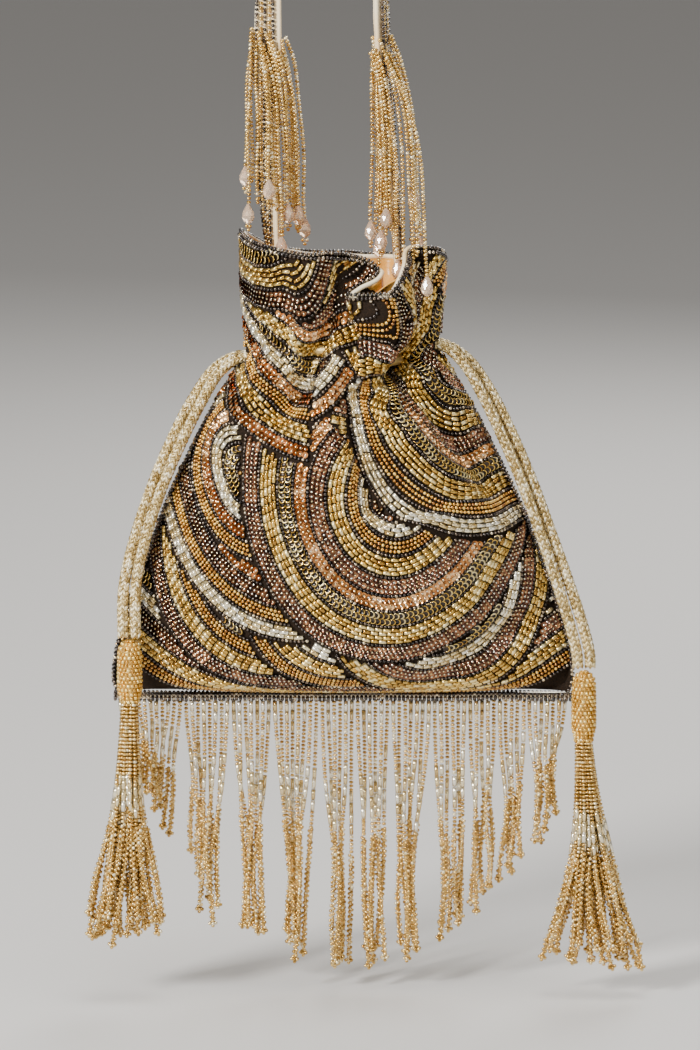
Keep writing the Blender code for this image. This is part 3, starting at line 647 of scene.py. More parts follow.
# ---------------------------------------------------------------- embroidery
# Overlapping fans, the top one first: centre (across to the right, height), radius, the arc
# of directions that it fills, in degrees from +X towards +Z, and the bands from outside in.
GOLD, PALE, BROWN, COPPER = "gold", "pale", "brown", "copper"
AMBER, CRESCENT = "amber", "crescent"
FANS = (
    ((-52, 211), 45, (0, 360), (BROWN, GOLD, CRESCENT, PALE, COPPER, GOLD)),
    ((-28, 207), 54, (0, 360), (GOLD, COPPER, BROWN, GOLD)),
    ((19, 188), 37, (0, 360), (GOLD, BROWN, AMBER, GOLD, COPPER)),
    ((-20, 205), 99, (195, 273), (COPPER, GOLD, AMBER, COPPER, PALE, CRESCENT, GOLD, BROWN,
                                  CRESCENT, GOLD)),
    ((-70, 197), 91, (-62, -24), (COPPER, PALE, BROWN, GOLD, CRESCENT, PALE)),
    ((92, 146), 89, (120, 320), (PALE, AMBER, GOLD, CRESCENT, COPPER, BROWN, GOLD, CRESCENT,
                                 BROWN, GOLD)),
    ((31, 97), 80, (138, 352), (BROWN, GOLD, CRESCENT, COPPER, BROWN, GOLD, AMBER, PALE,
                                BROWN)),
    ((-46, 96), 36, (0, 360), (AMBER, COPPER, PALE, CRESCENT)),
    ((-31, 106), 79, (120, 330), (PALE, AMBER, BROWN, COPPER, PALE, CRESCENT, AMBER, BROWN)),
    ((51, 50), 61, (165, 400), (GOLD, BROWN, PALE, CRESCENT, AMBER, COPPER, GOLD)),
    ((3, 54), 54, (150, 390), (AMBER, GOLD, PALE, BROWN, CRESCENT, GOLD)),
    ((-38, 66), 68, (120, 400), (BROWN, GOLD, AMBER, CRESCENT, COPPER, GOLD, BROWN)),
    ((10, 330), 360, (180, 360), (AMBER, GOLD, BROWN, PALE, CRESCENT, COPPER)),
)
OUTLINE = 1.8                 # width of the one row of seeds between two bands
EDGE = 0.6                    # bare cloth along the border of the fan on top
# Of each kind of band: its rows, their spacing, and a bead's pitch, length and width.
ROWS = {GOLD: (4, 1.95, 3.75, 3.35, 1.95), PALE: (3, 2.05, 4.3, 3.95, 2.1),
        AMBER: (3, 1.85, 1.9, 1.95, 1.9), BROWN: (3, 2.1, 2.1, 3.1, 2.5),
        COPPER: (2, 2.6, 2.3, 3.4, 3.1), CRESCENT: (2, 2.7, 2.25, 3.5, 3.2)}
CORD_SLOTS = ((-1, 154.5), (1, 159.8))     # side and height of the cords' ways out


def cord_slot(points):
    """Where the drawstrings come out between the panels, which stays free of beads."""
    blocked = np.zeros(len(points), bool)
    for sign, height in CORD_SLOTS:
        blocked |= ((sign * points[:, 0] > 30) & (np.abs(points[:, 1]) < 6.6)
                    & (np.abs(points[:, 2] - height) < 4.6))
    return blocked


class Embroidery:
    """The beads and sequins of one side, gathered by kind."""

    def __init__(self, side):
        self.side = side
        self.batches = {kind: Batch() for kind in
                        ("seed", GOLD, PALE, BROWN, COPPER, AMBER, "dark", "dot")}
        heights, lengths = side.v_of_height
        self.fans = []
        for (x, height), radius, arc, bands in FANS:
            v = float(np.interp(height, heights, lengths)) + max(height - heights[-1], 0)
            self.fans.append((np.array((-x, v)), radius, arc, bands))

    def covered(self, number, u, v):
        """Where a higher fan lies over this one."""
        over = np.zeros(u.shape, bool)
        for centre, radius, (low, high), _ in self.fans[:number]:
            across, up = centre[0] - u, v - centre[1]
            turn = np.degrees(np.arctan2(up, across))
            inside = np.hypot(across, up) < radius + EDGE
            over |= inside & ((turn - low) % 360 <= high - low)
        return over

    def row(self, number, radius, pitch, offset):
        """Places, tangents and normals at a pitch along one arc of a fan, where it shows."""
        centre, _, (low, high), _ = self.fans[number]
        count = int(radius * math.radians(high - low) / 0.6) + 2
        turn = np.radians(np.linspace(low, high, count))
        u = centre[0] - radius * np.cos(turn)
        v = centre[1] + radius * np.sin(turn)
        return self.along(u, v, pitch, offset, ~self.covered(number, u, v))

    def along(self, u, v, pitch, offset, shown):
        """Places, tangents and normals at an even pitch along a line on the map."""
        points, normals = self.side.at(u, v)
        with np.errstate(invalid="ignore"):
            good = shown & np.isfinite(points).all(axis=1) & np.isfinite(normals).all(axis=1)
            good &= ~cord_slot(points)
        found = []
        edges = np.flatnonzero(np.diff(np.concatenate(([0], good.astype(int), [0]))))
        for first, last in zip(edges[::2], edges[1::2]):
            if last - first < 4:
                continue
            line, up = points[first:last], normals[first:last]
            reach = np.concatenate(([0], np.cumsum(
                np.linalg.norm(np.diff(line, axis=0), axis=1))))
            places = np.arange(pitch * (0.5 + offset), reach[-1] - 0.35 * pitch, pitch)
            if not len(places):
                continue
            place = np.stack([np.interp(places, reach, line[:, k]) for k in range(3)], axis=1)
            normal = unit(np.stack([np.interp(places, reach, up[:, k]) for k in range(3)],
                                   axis=1))
            ahead = np.stack([np.interp(places + 0.5, reach, line[:, k])
                              - np.interp(places - 0.5, reach, line[:, k])
                              for k in range(3)], axis=1)
            tangent = unit(ahead - normal * np.sum(ahead * normal, axis=1)[:, None])
            axes = np.stack((tangent, np.cross(normal, tangent), normal), axis=1)
            found.append((place, axes))
        if not found:
            return np.empty((0, 3)), np.empty((0, 3, 3))
        return tuple(np.concatenate(group) for group in zip(*found))

    def seeds(self, places, axes):
        lift = places + 0.75 * axes[:, 2]
        turned = rolled(axes, RANDOM.uniform(-0.5, 0.5, len(places)))
        self.batches["seed"].add("seed", lift, turned, (1.85, 1.8, 1.8))

    def rods(self, kind, places, axes):
        """Bugles, each a little out of line."""
        _, _, _, length, width = ROWS[kind]
        lift = places + 0.72 * axes[:, 2] + RANDOM.normal(0, 0.06, places.shape)
        yaw = RANDOM.normal(0, 0.05, len(places))
        turned = axes.copy()
        turned[:, 0] = axes[:, 0] + yaw[:, None] * axes[:, 1]
        turned[:, 1] = axes[:, 1] - yaw[:, None] * axes[:, 0]
        turned = rolled(turned, RANDOM.uniform(0, 1, len(places)))
        size = np.stack((length * RANDOM.uniform(0.93, 1.06, len(places)),
                         np.full(len(places), width), np.full(len(places), width)), axis=1)
        self.batches[kind].add("bugle", lift, turned, size)

    def sequins(self, kind, places, axes):
        """Overlapping cup sequins: each leans on the next, with a bead at its hole."""
        _, _, _, length, width = ROWS[kind]
        lean = 0.36 + RANDOM.normal(0, 0.07, len(places))
        side = RANDOM.normal(0, 0.10, len(places))
        tilted = axes.copy()
        tilted[:, 0] = np.cos(lean)[:, None] * axes[:, 0] + np.sin(lean)[:, None] * axes[:, 2]
        tilted[:, 2] = np.cos(lean)[:, None] * axes[:, 2] - np.sin(lean)[:, None] * axes[:, 0]
        tilted = rolled(tilted, side)
        lift = places + 1.0 * axes[:, 2]
        if kind == CRESCENT:
            self.batches["dark"].add("cup", lift, tilted, (length, width, 3.2))
            self.batches[GOLD].add("crescent", lift + 0.12 * tilted[:, 2], tilted,
                                   (length, width, 4.4))
        else:
            self.batches[kind].add("cup", lift, tilted, (length, width, 3.4))
            # bead tops in the pale bugles' bright colour: a real bead, and a painted highlight at
            # the sequin's hole
            self.batches["dot"].add("dot", lift - 0.15 * tilted[:, 2], tilted, (1.1, 1.1, 0.8))

    def fill(self):
        """All the fans, band by band from the outside in."""
        for number, (_, radius, _, bands) in enumerate(self.fans):
            place = 0
            while radius > 3:
                self.seeds(*self.row(number, radius - OUTLINE / 2, SEED, 0))
                radius -= OUTLINE
                kind = bands[place % len(bands)]
                rows, spacing, pitch, _, width = ROWS[kind]
                for i in range(rows):
                    arc = radius - spacing * (i + 0.5)
                    if arc < 1.5:
                        break
                    beads = self.row(number, arc, pitch, 0.5 * (i % 2))
                    if kind in (BROWN, COPPER, CRESCENT):
                        self.sequins(kind, *beads)
                    elif kind == AMBER:
                        self.batches[AMBER].add("seed", beads[0] + 0.8 * beads[1][:, 2],
                                                beads[1], (width, width, width))
                    else:
                        self.rods(kind, *beads)
                radius -= rows * spacing
                place += 1

    def make(self):
        for kind, batch in self.batches.items():
            # the dots take the bright pale colour, partly a painted highlight
            material = MATERIALS["pale" if kind == "dot" else kind]
            settle(batch.make(f"{self.side.name}_{kind}_beads", material))


def seed_line(batch, line, size):
    """Seeds threaded on a line, a little apart."""
    line = even_line(line, 1.9)
    axes = rolled(line_axes(line, (0, -1, 0.01)), RANDOM.uniform(0, 6, len(line)))
    free = ~cord_slot(line)
    batch.add("seed", line[free], axes[free], size)


def edge_rows():
    """The rows of seeds on the rim, the bottom seam and the side seams."""
    rim, seams, joins = Batch(), Batch(), Batch()
    angles = np.radians(np.linspace(0, 360, 1200))
    edge = pouch(angles, 1.0)
    low = pouch(angles, 0.985)
    inward = unit(np.cross(np.gradient(edge, axis=0), edge - low))
    seed_line(rim, edge + 0.5 * inward + np.array((0, 0, 0.9)), (1.9, 2.1, 2.1))
    seed_line(rim, edge - 0.2 * inward - np.array((0, 0, 1.0)), (1.85, 2.0, 2.0))
    settle(rim.make("rim_seeds", MATERIALS["seed"]), replaces=["rim_beading"])

    ends = HALF_WIDTH[0][1] + 0.5
    x = np.linspace(-ends, ends, 60)
    for depth, height in ((-2.5, -0.9), (-2.2, -2.7), (-0.8, -3.8), (0.8, -3.8), (2.2, -2.7),
                          (2.5, -0.9)):
        line = np.stack((x, np.full(60, depth), height + 0.25 * np.sin(x / 9)), axis=1)
        seed_line(seams, line, (1.9, 2.05, 2.05))
    tape = np.stack((x, np.zeros(60), np.full(60, -1.9)), axis=1)
    seams.add_grid(tube(tape, 1.5, 8), closed=True)
    settle(seams.make("bottom_seeds", MATERIALS["seed"]),
           replaces=["bottom_beading"])

    shares = np.linspace(0.005, 0.985, 300)
    for sign, turn in ((1, 0.0), (-1, math.pi)):
        seam = pouch(turn, shares)
        for aside in (-2.0, 0, 2.0):
            back = 0.4 + 0.25 * abs(aside)
            seed_line(joins, seam + np.array((-sign * back, aside, 0)), (1.9, 2.0, 2.0))
    settle(joins.make("side_seeds", MATERIALS["seed"]))


# ---------------------------------------------------------------- lining
def lining():
    """The satin lining down to the bottom of the pouch, gathered where the cords draw it in,
    and the satin edge that rolls over at the rim."""
    angles = np.radians(np.linspace(0, 360, 180, endpoint=False))
    rows = []
    for share in np.concatenate((np.linspace(0.03, 0.68, 15), np.linspace(0.7, 0.993, 36))):
        outer = pouch(angles, share)
        level = pouch(angles, max(share - 0.01, 0.0))
        around = np.roll(outer, -1, axis=0) - np.roll(outer, 1, axis=0)
        inward = unit(np.cross(around, outer - level))
        high = outer + smooth_table(LINING_STAND, outer[:, 2])[:, None] * inward
        low = pouch(angles, share, inset=(smooth_table(LINING_SIDE, outer[:, 2]),
                                          smooth_table(LINING_FRONT, outer[:, 2])))
        change = ease((outer[:, 2] - 105) / 30)[:, None]
        ring = low + (high - low) * change
        height = ring[:, 2]
        wide, deep = smooth_table(THROAT_WIDTH, height), smooth_table(THROAT_DEPTH, height)
        folds = 1 + 0.05 * np.sin(17 * angles + 0.8 * np.sin(3 * angles) + height / 30)
        beyond = np.hypot(ring[:, 0] / (wide * folds), ring[:, 1] / (deep * folds))
        gathered = ease((height - 112) / 8) * (beyond > 1)
        ring[:, :2] /= (1 + (np.maximum(beyond, 1) - 1) * gathered)[:, None]
        rows.append(ring)
    rows.insert(0, rows[0] * np.array((1, 0.02, 1)))
    grid = np.stack(rows)
    quads = grid_faces(len(grid), grid.shape[1], closed=True)
    obj = make_mesh("satin_lining_cloth", grid.reshape(-1, 3), [quads], MATERIALS["lining"])
    solidify = obj.modifiers.new("thickness", "SOLIDIFY")
    solidify.thickness = 0.4 * MM
    solidify.offset = 0
    settle(obj, replaces=["satin_lining"])

    angles = np.radians(np.linspace(0, 360, 600, endpoint=False))
    edge = pouch(angles, 0.994)
    inward = unit(np.cross(np.roll(edge, -1, axis=0) - np.roll(edge, 1, axis=0),
                           edge - pouch(angles, 0.98)))
    line = edge + 2.2 * inward + np.array((0, 0, 0.6))
    line = np.concatenate((line, line[:1]))
    roll = Batch()
    roll.add_grid(tube(line, 1.1, 8), closed=True)
    settle(roll.make("satin_edge", MATERIALS["cream"]))


# ---------------------------------------------------------------- drawstrings
# Middle line of each pair of runs: x, y and height, and the pair's roll in degrees.
RUNS = {
    "left": (((-35.0, 0.0, 154.0), 90), ((-45.0, 0.0, 154.5), 90), ((-55.5, -1.0, 149.5), 70),
             ((-66.0, -3.0, 134.5), 48), ((-75.5, -5.0, 116.0), 40), ((-84.0, -6.0, 96.0), 38),
             ((-91.0, -7.5, 75.5), 36), ((-95.8, -12.0, 56.0), 24),
             ((-96.8, -19.5, 43.0), 6), ((-96.6, -23.0, 35.0), 0), ((-96.5, -23.3, 29.2), 0)),
    "right": (((35.0, 0.0, 160.0), 90), ((45.0, 0.0, 159.8), 90), ((55.0, -1.0, 153.0), 70),
              ((64.5, -3.0, 139.0), 48), ((74.0, -5.0, 120.0), 40), ((83.0, -6.0, 99.0), 38),
              ((91.5, -7.0, 76.0), 36), ((99.5, -9.0, 53.0), 26),
              ((106.5, -12.5, 31.0), 8), ((109.3, -14.8, 19.0), 0), ((109.5, -15.0, 13.2), 0)),
}
PAIR_PITCH = 5.7
CORD_DIAMETER = 5.2
RING_HALF_WIDTH, RING_HALF_DEPTH, RING_OPENING = 27.4, 20.4, 34
CORE_RADIUS = 1.9             # of the cord under its knitted stitches
WALES = 5                     # columns of V stitches round the cord
STITCH_PITCH = 2.3
STITCH_LEAN = 0.55            # radians


def pair_runs(side):
    """The two runs of a drawstring outside the pouch, from the casing to the tassel."""
    middle = smooth_line([(*point, roll) for point, roll in RUNS[side]], 3)
    points, rolls = middle[:, :3], np.radians(middle[:, 3])
    tangent = np.gradient(points, axis=0)
    inwards = 1 if side == "left" else -1
    beside = unit(np.stack((-tangent[:, 2], np.zeros(len(points)), tangent[:, 0]), axis=1))
    across = unit(np.cos(rolls)[:, None] * beside * inwards
                  + np.sin(rolls)[:, None] * np.array((0, -1, 0)))
    half = PAIR_PITCH / 2 * across
    return points + half, points - half


def knitted_cord(name, line):
    """A knitted cord: a core, and columns of leaning stitches in pairs that make Vs."""
    batch = Batch()
    radius = np.full(len(line), CORE_RADIUS)
    radius[[0, -1]] = 0.3
    batch.add_grid(tube(line, radius, 10, (0, -1, 0)), closed=True)
    length = np.linalg.norm(np.diff(line, axis=0), axis=1).sum()
    fine = even_line(line, 0.5)
    axes = line_axes(fine, (0, -1, 0))
    reach = np.linspace(0, length, len(fine))
    for column in range(2 * WALES):
        start = STITCH_PITCH * (0.6 + 0.5 * (column // 2 % 2))
        places = np.arange(start, length - 0.8, STITCH_PITCH)
        near = np.clip(np.searchsorted(reach, places), 0, len(fine) - 1)
        around = math.tau * (column + 0.5) / (2 * WALES)
        turned = rolled(axes[near], np.full(len(near), around))
        lean = STITCH_LEAN * (1 if column % 2 else -1) + RANDOM.normal(0, 0.08, len(near))
        leaning = np.stack((
            np.cos(lean)[:, None] * turned[:, 0] + np.sin(lean)[:, None] * turned[:, 1],
            np.cos(lean)[:, None] * turned[:, 1] - np.sin(lean)[:, None] * turned[:, 0],
            turned[:, 2]), axis=1)
        out = CORE_RADIUS + 0.15
        batch.add("stitch", fine[near] + out * turned[:, 2], leaning, (3.3, 1.5, 1.1))
    return batch.make(name, MATERIALS["zari"])


def drawstrings():
    """The four free runs, as knitted cords, and the rings in the casing that join them."""
    for side in ("left", "right"):
        rings = Batch()
        facing = math.pi if side == "left" else 0
        opening = math.radians(RING_OPENING)
        turn = facing + np.linspace(opening, math.tau - opening, 60)
        height = RUNS[side][0][0][2]
        ring = np.stack((RING_HALF_WIDTH * np.cos(turn), RING_HALF_DEPTH * np.sin(turn),
                         np.full(len(turn), height)), axis=1)
        runs = pair_runs(side)
        ends = sorted(runs, key=lambda run: np.linalg.norm(run[0] - ring[0]))
        joined = smooth_line(np.concatenate((ends[0][4:0:-1], ring[::6], ends[1][1:5])), 2)
        rings.add_grid(tube(joined, CORD_DIAMETER / 2 - 0.3, 8), closed=True)
        settle(rings.make(side + "_casing_cord", MATERIALS["zari"]))
        for number, run in enumerate(runs, start=1):
            piece = knitted_cord(f"{side}_cord_{number}", run)
            settle(piece, replaces=["drawstring_" + side])


# ---------------------------------------------------------------- bead strands
SEED_PITCH, SEED_SIZE = 1.75, (1.75, 2.3, 2.3)
BUGLE_PITCH, BUGLE_SIZE = 5.1, (4.8, 2.05, 2.05)
ROPE_PITCH, ROPE_SIZE = 0.78, (1.9, 1.8, 1.8)     # three seeds to a turn of the twist
ROPE_RADIUS = 0.78
ROPE_CORE_RADIUS = 0.7


def strand(batches, line, zones):
    """Threads beads on a line. zones are (kind, share of the length where it ends)."""
    fine = even_line(line, 0.35)
    length = np.linalg.norm(np.diff(fine, axis=0), axis=1).sum()
    axes = line_axes(fine, (0, -1, 0))
    scale = (len(fine) - 1) / length
    start = 0.0
    for kind, share in zones:
        end = share * length
        if kind == "bugle":
            end = start + max(1, round((end - start) / BUGLE_PITCH)) * BUGLE_PITCH
            places = np.arange(start + BUGLE_PITCH / 2, end, BUGLE_PITCH)
            size, batch, template = BUGLE_SIZE, "pale", "bugle"
        elif kind == "seed":
            places = np.arange(start + SEED_PITCH / 2, end, SEED_PITCH)
            size, batch, template = SEED_SIZE, "strand", "seed"
        else:
            places = np.arange(start + ROPE_PITCH, end, ROPE_PITCH)
            size, batch, template = ROPE_SIZE, "strand", "seed"
        near = np.clip((places * scale).astype(int), 0, len(fine) - 1)
        points, turned = fine[near], axes[near]
        if kind == "rope":
            turn = math.tau / 3 * np.arange(len(near)) + RANDOM.uniform(0, 6) + places / 9
            points = points + ROPE_RADIUS * (np.cos(turn)[:, None] * turned[:, 1]
                                             + np.sin(turn)[:, None] * turned[:, 2])
            core = even_line(fine[near[0]:near[-1]], 4)
            batches["strand"].add_grid(tube(core, ROPE_CORE_RADIUS, 4, (0, -1, 0)), closed=True)
        turned = rolled(turned, RANDOM.uniform(0, math.tau, len(near)))
        batches[batch].add(template, points, turned, size)
        start = end
    turn = math.tau * np.arange(5) / 5 + RANDOM.uniform(0, 6)
    knot = np.array([fine[-1] + 1.35 * (math.cos(a) * axes[-1, 1] + math.sin(a) * axes[-1, 2])
                     for a in turn] + [fine[-1] + 1.3 * axes[-1, 0]])
    batches["strand"].add("seed", knot, np.repeat(axes[-1:], 6, axis=0), (1.9, 1.9, 1.9))


FRINGE_TIPS = ((-102, -40), (-79, -58), (-65, -91), (-42, -109), (-20, -118), (0, -128),
               (26, -118), (49, -112), (62, -97), (74, -86), (90, -64), (102, -54))
FRINGE_STRANDS = 76
FRINGE_TOP = -4.2


def fringe():
    """The strands under the bottom seam: they hang in loose locks and twist near the tips."""
    batches = {"strand": Batch(), "pale": Batch()}
    reach = HALF_WIDTH[0][1] - 2
    starts = np.linspace(-reach, reach, FRINGE_STRANDS)
    centres = np.cumsum(RANDOM.uniform(10, 26, 30)) - reach
    share = np.linspace(0, 1, 40)
    for number, x in enumerate(starts):
        lock = centres[np.argmin(np.abs(centres - x))]
        tip = float(smooth_table(FRINGE_TIPS, x)) * (1 + RANDOM.normal(0, 0.025))
        tip = max(tip, FRINGE_TIPS[5][1])
        pull = (lock - x) * RANDOM.uniform(0.25, 0.75)
        stray = RANDOM.normal(0, 1.6)
        phase, bends = RANDOM.uniform(0, math.tau, 2), RANDOM.uniform(0.7, 1.8, 2)
        away = RANDOM.normal(0, 2.6)
        line = np.stack((
            x + pull * ease(share * 1.25) + stray * share ** 2
            + 1.3 * share * np.sin(math.tau * bends[0] * share + phase[0]),
            (1.6 if number % 2 else -1.6) + away * share ** 1.5
            + 0.9 * share * np.sin(math.tau * bends[1] * share + phase[1]),
            FRINGE_TOP + (tip - FRINGE_TOP) * share), axis=1)
        change = RANDOM.uniform(0.40, 0.52)
        zones = [("seed", change - 0.16), ("bugle", change), ("seed", change + 0.08),
                 ("rope", 1.0)]
        if RANDOM.random() < 0.6:
            zones.insert(0, ("bugle", RANDOM.uniform(0.06, 0.16)))
        if RANDOM.random() < 0.4:
            zones[-4:-4] = [("seed", change - 0.24), ("bugle", change - 0.2)]
        strand(batches, line, zones)
    locks = [f"fringe_lock_{number:02d}" for number in range(1, 13)]
    settle(batches["strand"].make("fringe_seeds", MATERIALS["strand"]),
           replaces=locks)
    settle(batches["pale"].make("fringe_bugles", MATERIALS["pale"]),
           replaces=locks)


# Tassels: top of the binding, its length and the skirt's length and reach at the tips.
TASSELS = {
    "left": dict(top=(-96.5, -23.0, 28.2), binding=27.5, skirt=114, lean=(-2.5, 0.0),
                 spread=(20, 9)),
    "right": dict(top=(109.5, -15.0, 12.2), binding=31, skirt=108, lean=(7.0, 0.0),
                  spread=(25, 9)),
}
BINDING_RADIUS = 5.7
TASSEL_STRANDS = 34


def tassel_binding(side):
    """Rows of seeds wound round the end of the cords, over a core."""
    size = TASSELS[side]
    top = np.array(size["top"])
    swing = top - np.array((0, 0, BINDING_RADIUS))
    length = size["binding"] - BINDING_RADIUS
    batch = Batch()
    dome = [(BINDING_RADIUS * math.cos(a), BINDING_RADIUS * math.sin(a))
            for a in np.radians((66, 44, 22))]
    count = int((length + 1) / 1.85)
    sides = [(BINDING_RADIUS * (1.0 + 0.05 * math.sin(2.2 * i / count)
                                - 0.2 * ease((i / count - 0.75) * 4)),
              -1.85 * i) for i in range(count + 1)]
    profile = [(radius - 0.95, rise) for radius, rise in dome + sides]
    rings = [swing + np.stack((radius * np.cos(turn), radius * np.sin(turn),
                               np.full(16, rise)), axis=1)
             for turn in [np.linspace(0, math.tau, 16, endpoint=False)]
             for radius, rise in [(0.2, BINDING_RADIUS - 1.2)] + [
                 (max(r - 0.5, 0.3), z) for r, z in profile] + [(0.2, profile[-1][1])]]
    batch.add_grid(np.stack(rings)[::-1], closed=True)
    for number, (radius, rise) in enumerate(profile):
        around = max(6, round(math.tau * radius / 1.85))
        turn = math.tau * (np.arange(around) + 0.5 * (number % 2)) / around
        places = swing + np.stack((radius * np.cos(turn), radius * np.sin(turn),
                                   rise + 0.12 * np.sin(2 * turn + number)), axis=1)
        out = np.stack((np.cos(turn), np.sin(turn), np.zeros(around)), axis=1)
        along = np.stack((-np.sin(turn), np.cos(turn), np.zeros(around)), axis=1)
        axes = np.stack((along, np.cross(out, along), out), axis=1)
        batch.add("barrel", places, axes, (1.8, 1.9, 1.9))
    obj = batch.make(side + "_binding_seeds", MATERIALS["binding"])
    return settle(obj, side + "_tassel", [side + "_tassel_binding"])


def tassel_skirt(side):
    """The bead strands of a tassel: close together at the binding, splayed at the tips."""
    size = TASSELS[side]
    foot = np.array(size["top"]) - np.array((0, 0, size["binding"] - 0.6))
    lean = np.array((*size["lean"], 0))
    batches = {"strand": Batch(), "pale": Batch()}
    share = np.linspace(0, 1, 40)
    for number in range(TASSEL_STRANDS):
        turn = number * 2.39996
        far = math.sqrt((number + 0.5) / TASSEL_STRANDS)
        near = 0.62 * BINDING_RADIUS * far
        wide, deep = (side_reach * far for side_reach in size["spread"])
        spread = 0.30 * share + 0.70 * share ** 2.4
        phase, bends = RANDOM.uniform(0, math.tau, 2), RANDOM.uniform(0.6, 1.6, 2)
        length = size["skirt"] * RANDOM.uniform(0.86, 1.0)
        line = np.stack((
            math.cos(turn) * (near + (wide - near) * spread) + lean[0] * share
            + 2.4 * share ** 1.8 * np.sin(math.tau * bends[0] * share + phase[0]),
            math.sin(turn) * (near + (deep - near) * spread)
            + 1.0 * share ** 1.5 * np.sin(math.tau * bends[1] * share + phase[1]),
            -length * share), axis=1)
        change = RANDOM.uniform(0.46, 0.54)
        zones = [("seed", change - 0.14), ("bugle", change), ("seed", change + 0.06),
                 ("rope", 1.0)]
        strand(batches, foot + line, zones)
    for kind, batch in batches.items():
        word = "seeds" if kind == "strand" else "bugles"
        settle(batch.make(f"{side}_skirt_{word}", MATERIALS[kind]),
               side + "_tassel", [side + "_tassel_skirt"])


# ---------------------------------------------------------------- handle
HANDLE = ((-25.4, 185, 0), (-28.0, 199, 10), (-30.6, 222, 26), (-32.0, 260, 46),
          (-32.2, 300, 55), (-30.6, 330, 40), (-25.5, 359, 14), (-13.5, 376, 0),
          (-3.5, 376, 0), (8.0, 361, 4), (13.0, 338, 12), (15.0, 300, 16),
          (17.5, 260, 14), (21.0, 222, 8), (22.8, 199, 2), (23.6, 184, 0))
STRAP_WIDTH = 13.5
STRAP_THICKNESS = 3.6
STRAP_ROWS = ((-4.6, "seed"), (-2.3, "strand"), (0.0, "seed"), (2.3, "strand"), (4.6, "seed"))


def strap_frames(spacing):
    """Points along the strap's inner face, and its across and outward directions."""
    line = smooth_line([(x, 0, z, twist) for x, z, twist in HANDLE], spacing)
    points = line[:, :3]
    tangent = unit(np.gradient(points, axis=0))
    outward = np.stack((-tangent[:, 2], np.zeros(len(points)), tangent[:, 0]), axis=1)
    turn = np.radians(line[:, 3])[:, None]
    ahead = np.array((0, -1, 0))
    across = unit(ahead * np.cos(turn) - outward * np.sin(turn))
    face = unit(outward * np.cos(turn) + ahead * np.sin(turn))
    return points, tangent, across, face


def handle():
    """The padded satin strap with its rolled edges, and the rows of beads on its outside."""
    points, tangent, across, face = strap_frames(1.5)
    reach = 1.5 * np.arange(len(points))
    puff = 1 + 0.05 * np.sin(reach / 2.1) + 0.03 * np.sin(reach / 5.3)
    around = np.linspace(0, math.tau, 20, endpoint=False)
    flat = np.sign(np.cos(around)) * np.abs(np.cos(around)) ** 0.55
    crown = np.sign(np.sin(around)) * np.abs(np.sin(around)) ** 0.8
    middle = points + STRAP_THICKNESS / 2 * face
    rows = (middle[:, None] + (STRAP_WIDTH / 2 - 0.6) * flat[None, :, None] * across[:, None]
            + (STRAP_THICKNESS / 2 * puff[:, None] * crown)[..., None] * face[:, None])
    strap = Batch()
    rows[[0, -1]] = middle[[0, -1], None]
    strap.add_grid(rows, closed=True)
    for sign in (-1, 1):
        edge = middle + sign * (STRAP_WIDTH / 2 - 0.5) * across + 0.5 * face
        strap.add_grid(tube(edge, 1.0, 8, (0, -1, 0.01)), closed=True)
    obj = strap.make("strap_satin", MATERIALS["cream"])
    settle(obj, replaces=["handle_strap"])

    batches = {"seed": Batch(), "strand": Batch()}
    points, tangent, across, face = strap_frames(0.5)
    for number, (offset, kind) in enumerate(STRAP_ROWS):
        line = points + (STRAP_THICKNESS + 1.0) * face + offset * across
        reach = np.concatenate(([0], np.cumsum(np.linalg.norm(np.diff(line, axis=0), axis=1))))
        places = np.arange(2 + 0.9 * (number % 2), reach[-1] - 2, SEED)
        near = np.searchsorted(reach, places)
        axes = np.stack((tangent[near], across[near], face[near]), axis=1)
        axes = rolled(axes, RANDOM.uniform(-0.5, 0.5, len(near)))
        batches[kind].add("seed", line[near], axes, (1.85, 1.95, 1.95))
    for kind, batch in batches.items():
        word = "dark" if kind == "seed" else "gold"
        settle(batch.make(f"strap_{word}_beads", MATERIALS[kind]),
               replaces=["handle_beading"])


# Bead strings on the strap: their top, the arc of directions round the strap that they
# start from, in degrees, and in that order each one's crystal: x, y and height.
STRINGS = {
    "left": dict(top=296, middle=-32.2, twist=55, arc=(110, 370), crystals=(
        (-33.0, 10.5, 212.0), (-43.8, 2.5, 236.0), (-42.5, -6.5, 220.0),
        (-33.0, -15.0, 232.0), (-27.5, -12.5, 206.0), (-24.6, -8.5, 220.5),
        (-20.0, -3.5, 219.0), (-17.2, 3.5, 212.5))),
    "right": dict(top=292, middle=15.4, twist=16, arc=(150, 350), crystals=(
        (16.4, 4.0, 203.5), (12.6, -4.0, 212.3), (17.2, -9.0, 208.6),
        (19.4, -13.0, 219.0), (24.6, -11.5, 195.6), (37.6, -27.5, 190.0),
        (31.8, -12.0, 227.0), (34.6, -2.5, 205.0))),
}
STRINGS_EACH = 3              # strings to a crystal
CRYSTAL_LENGTH, CRYSTAL_RADIUS = 9.0, 3.0
BAND_THICKNESS = 1.4


def string_starts(bunch, sign, count):
    """Where each string of a bunch leaves the strap."""
    turn = math.radians(bunch["twist"])
    face = np.array((sign * math.cos(turn), -math.sin(turn), 0))
    across = np.array((face[1], -face[0], 0))
    thick = STRAP_THICKNESS + BAND_THICKNESS
    middle = np.array((bunch["middle"], 0, 0)) + face * thick / 2
    for angle in np.radians(np.linspace(*bunch["arc"], count)):
        direction = np.array((math.cos(angle), math.sin(angle), 0))
        reach = max(abs(direction @ across) / (STRAP_WIDTH / 2 + 0.8),
                    abs(direction @ face) / (thick / 2 + 1.2))
        yield middle + direction / reach + np.array((0, 0, bunch["top"]))


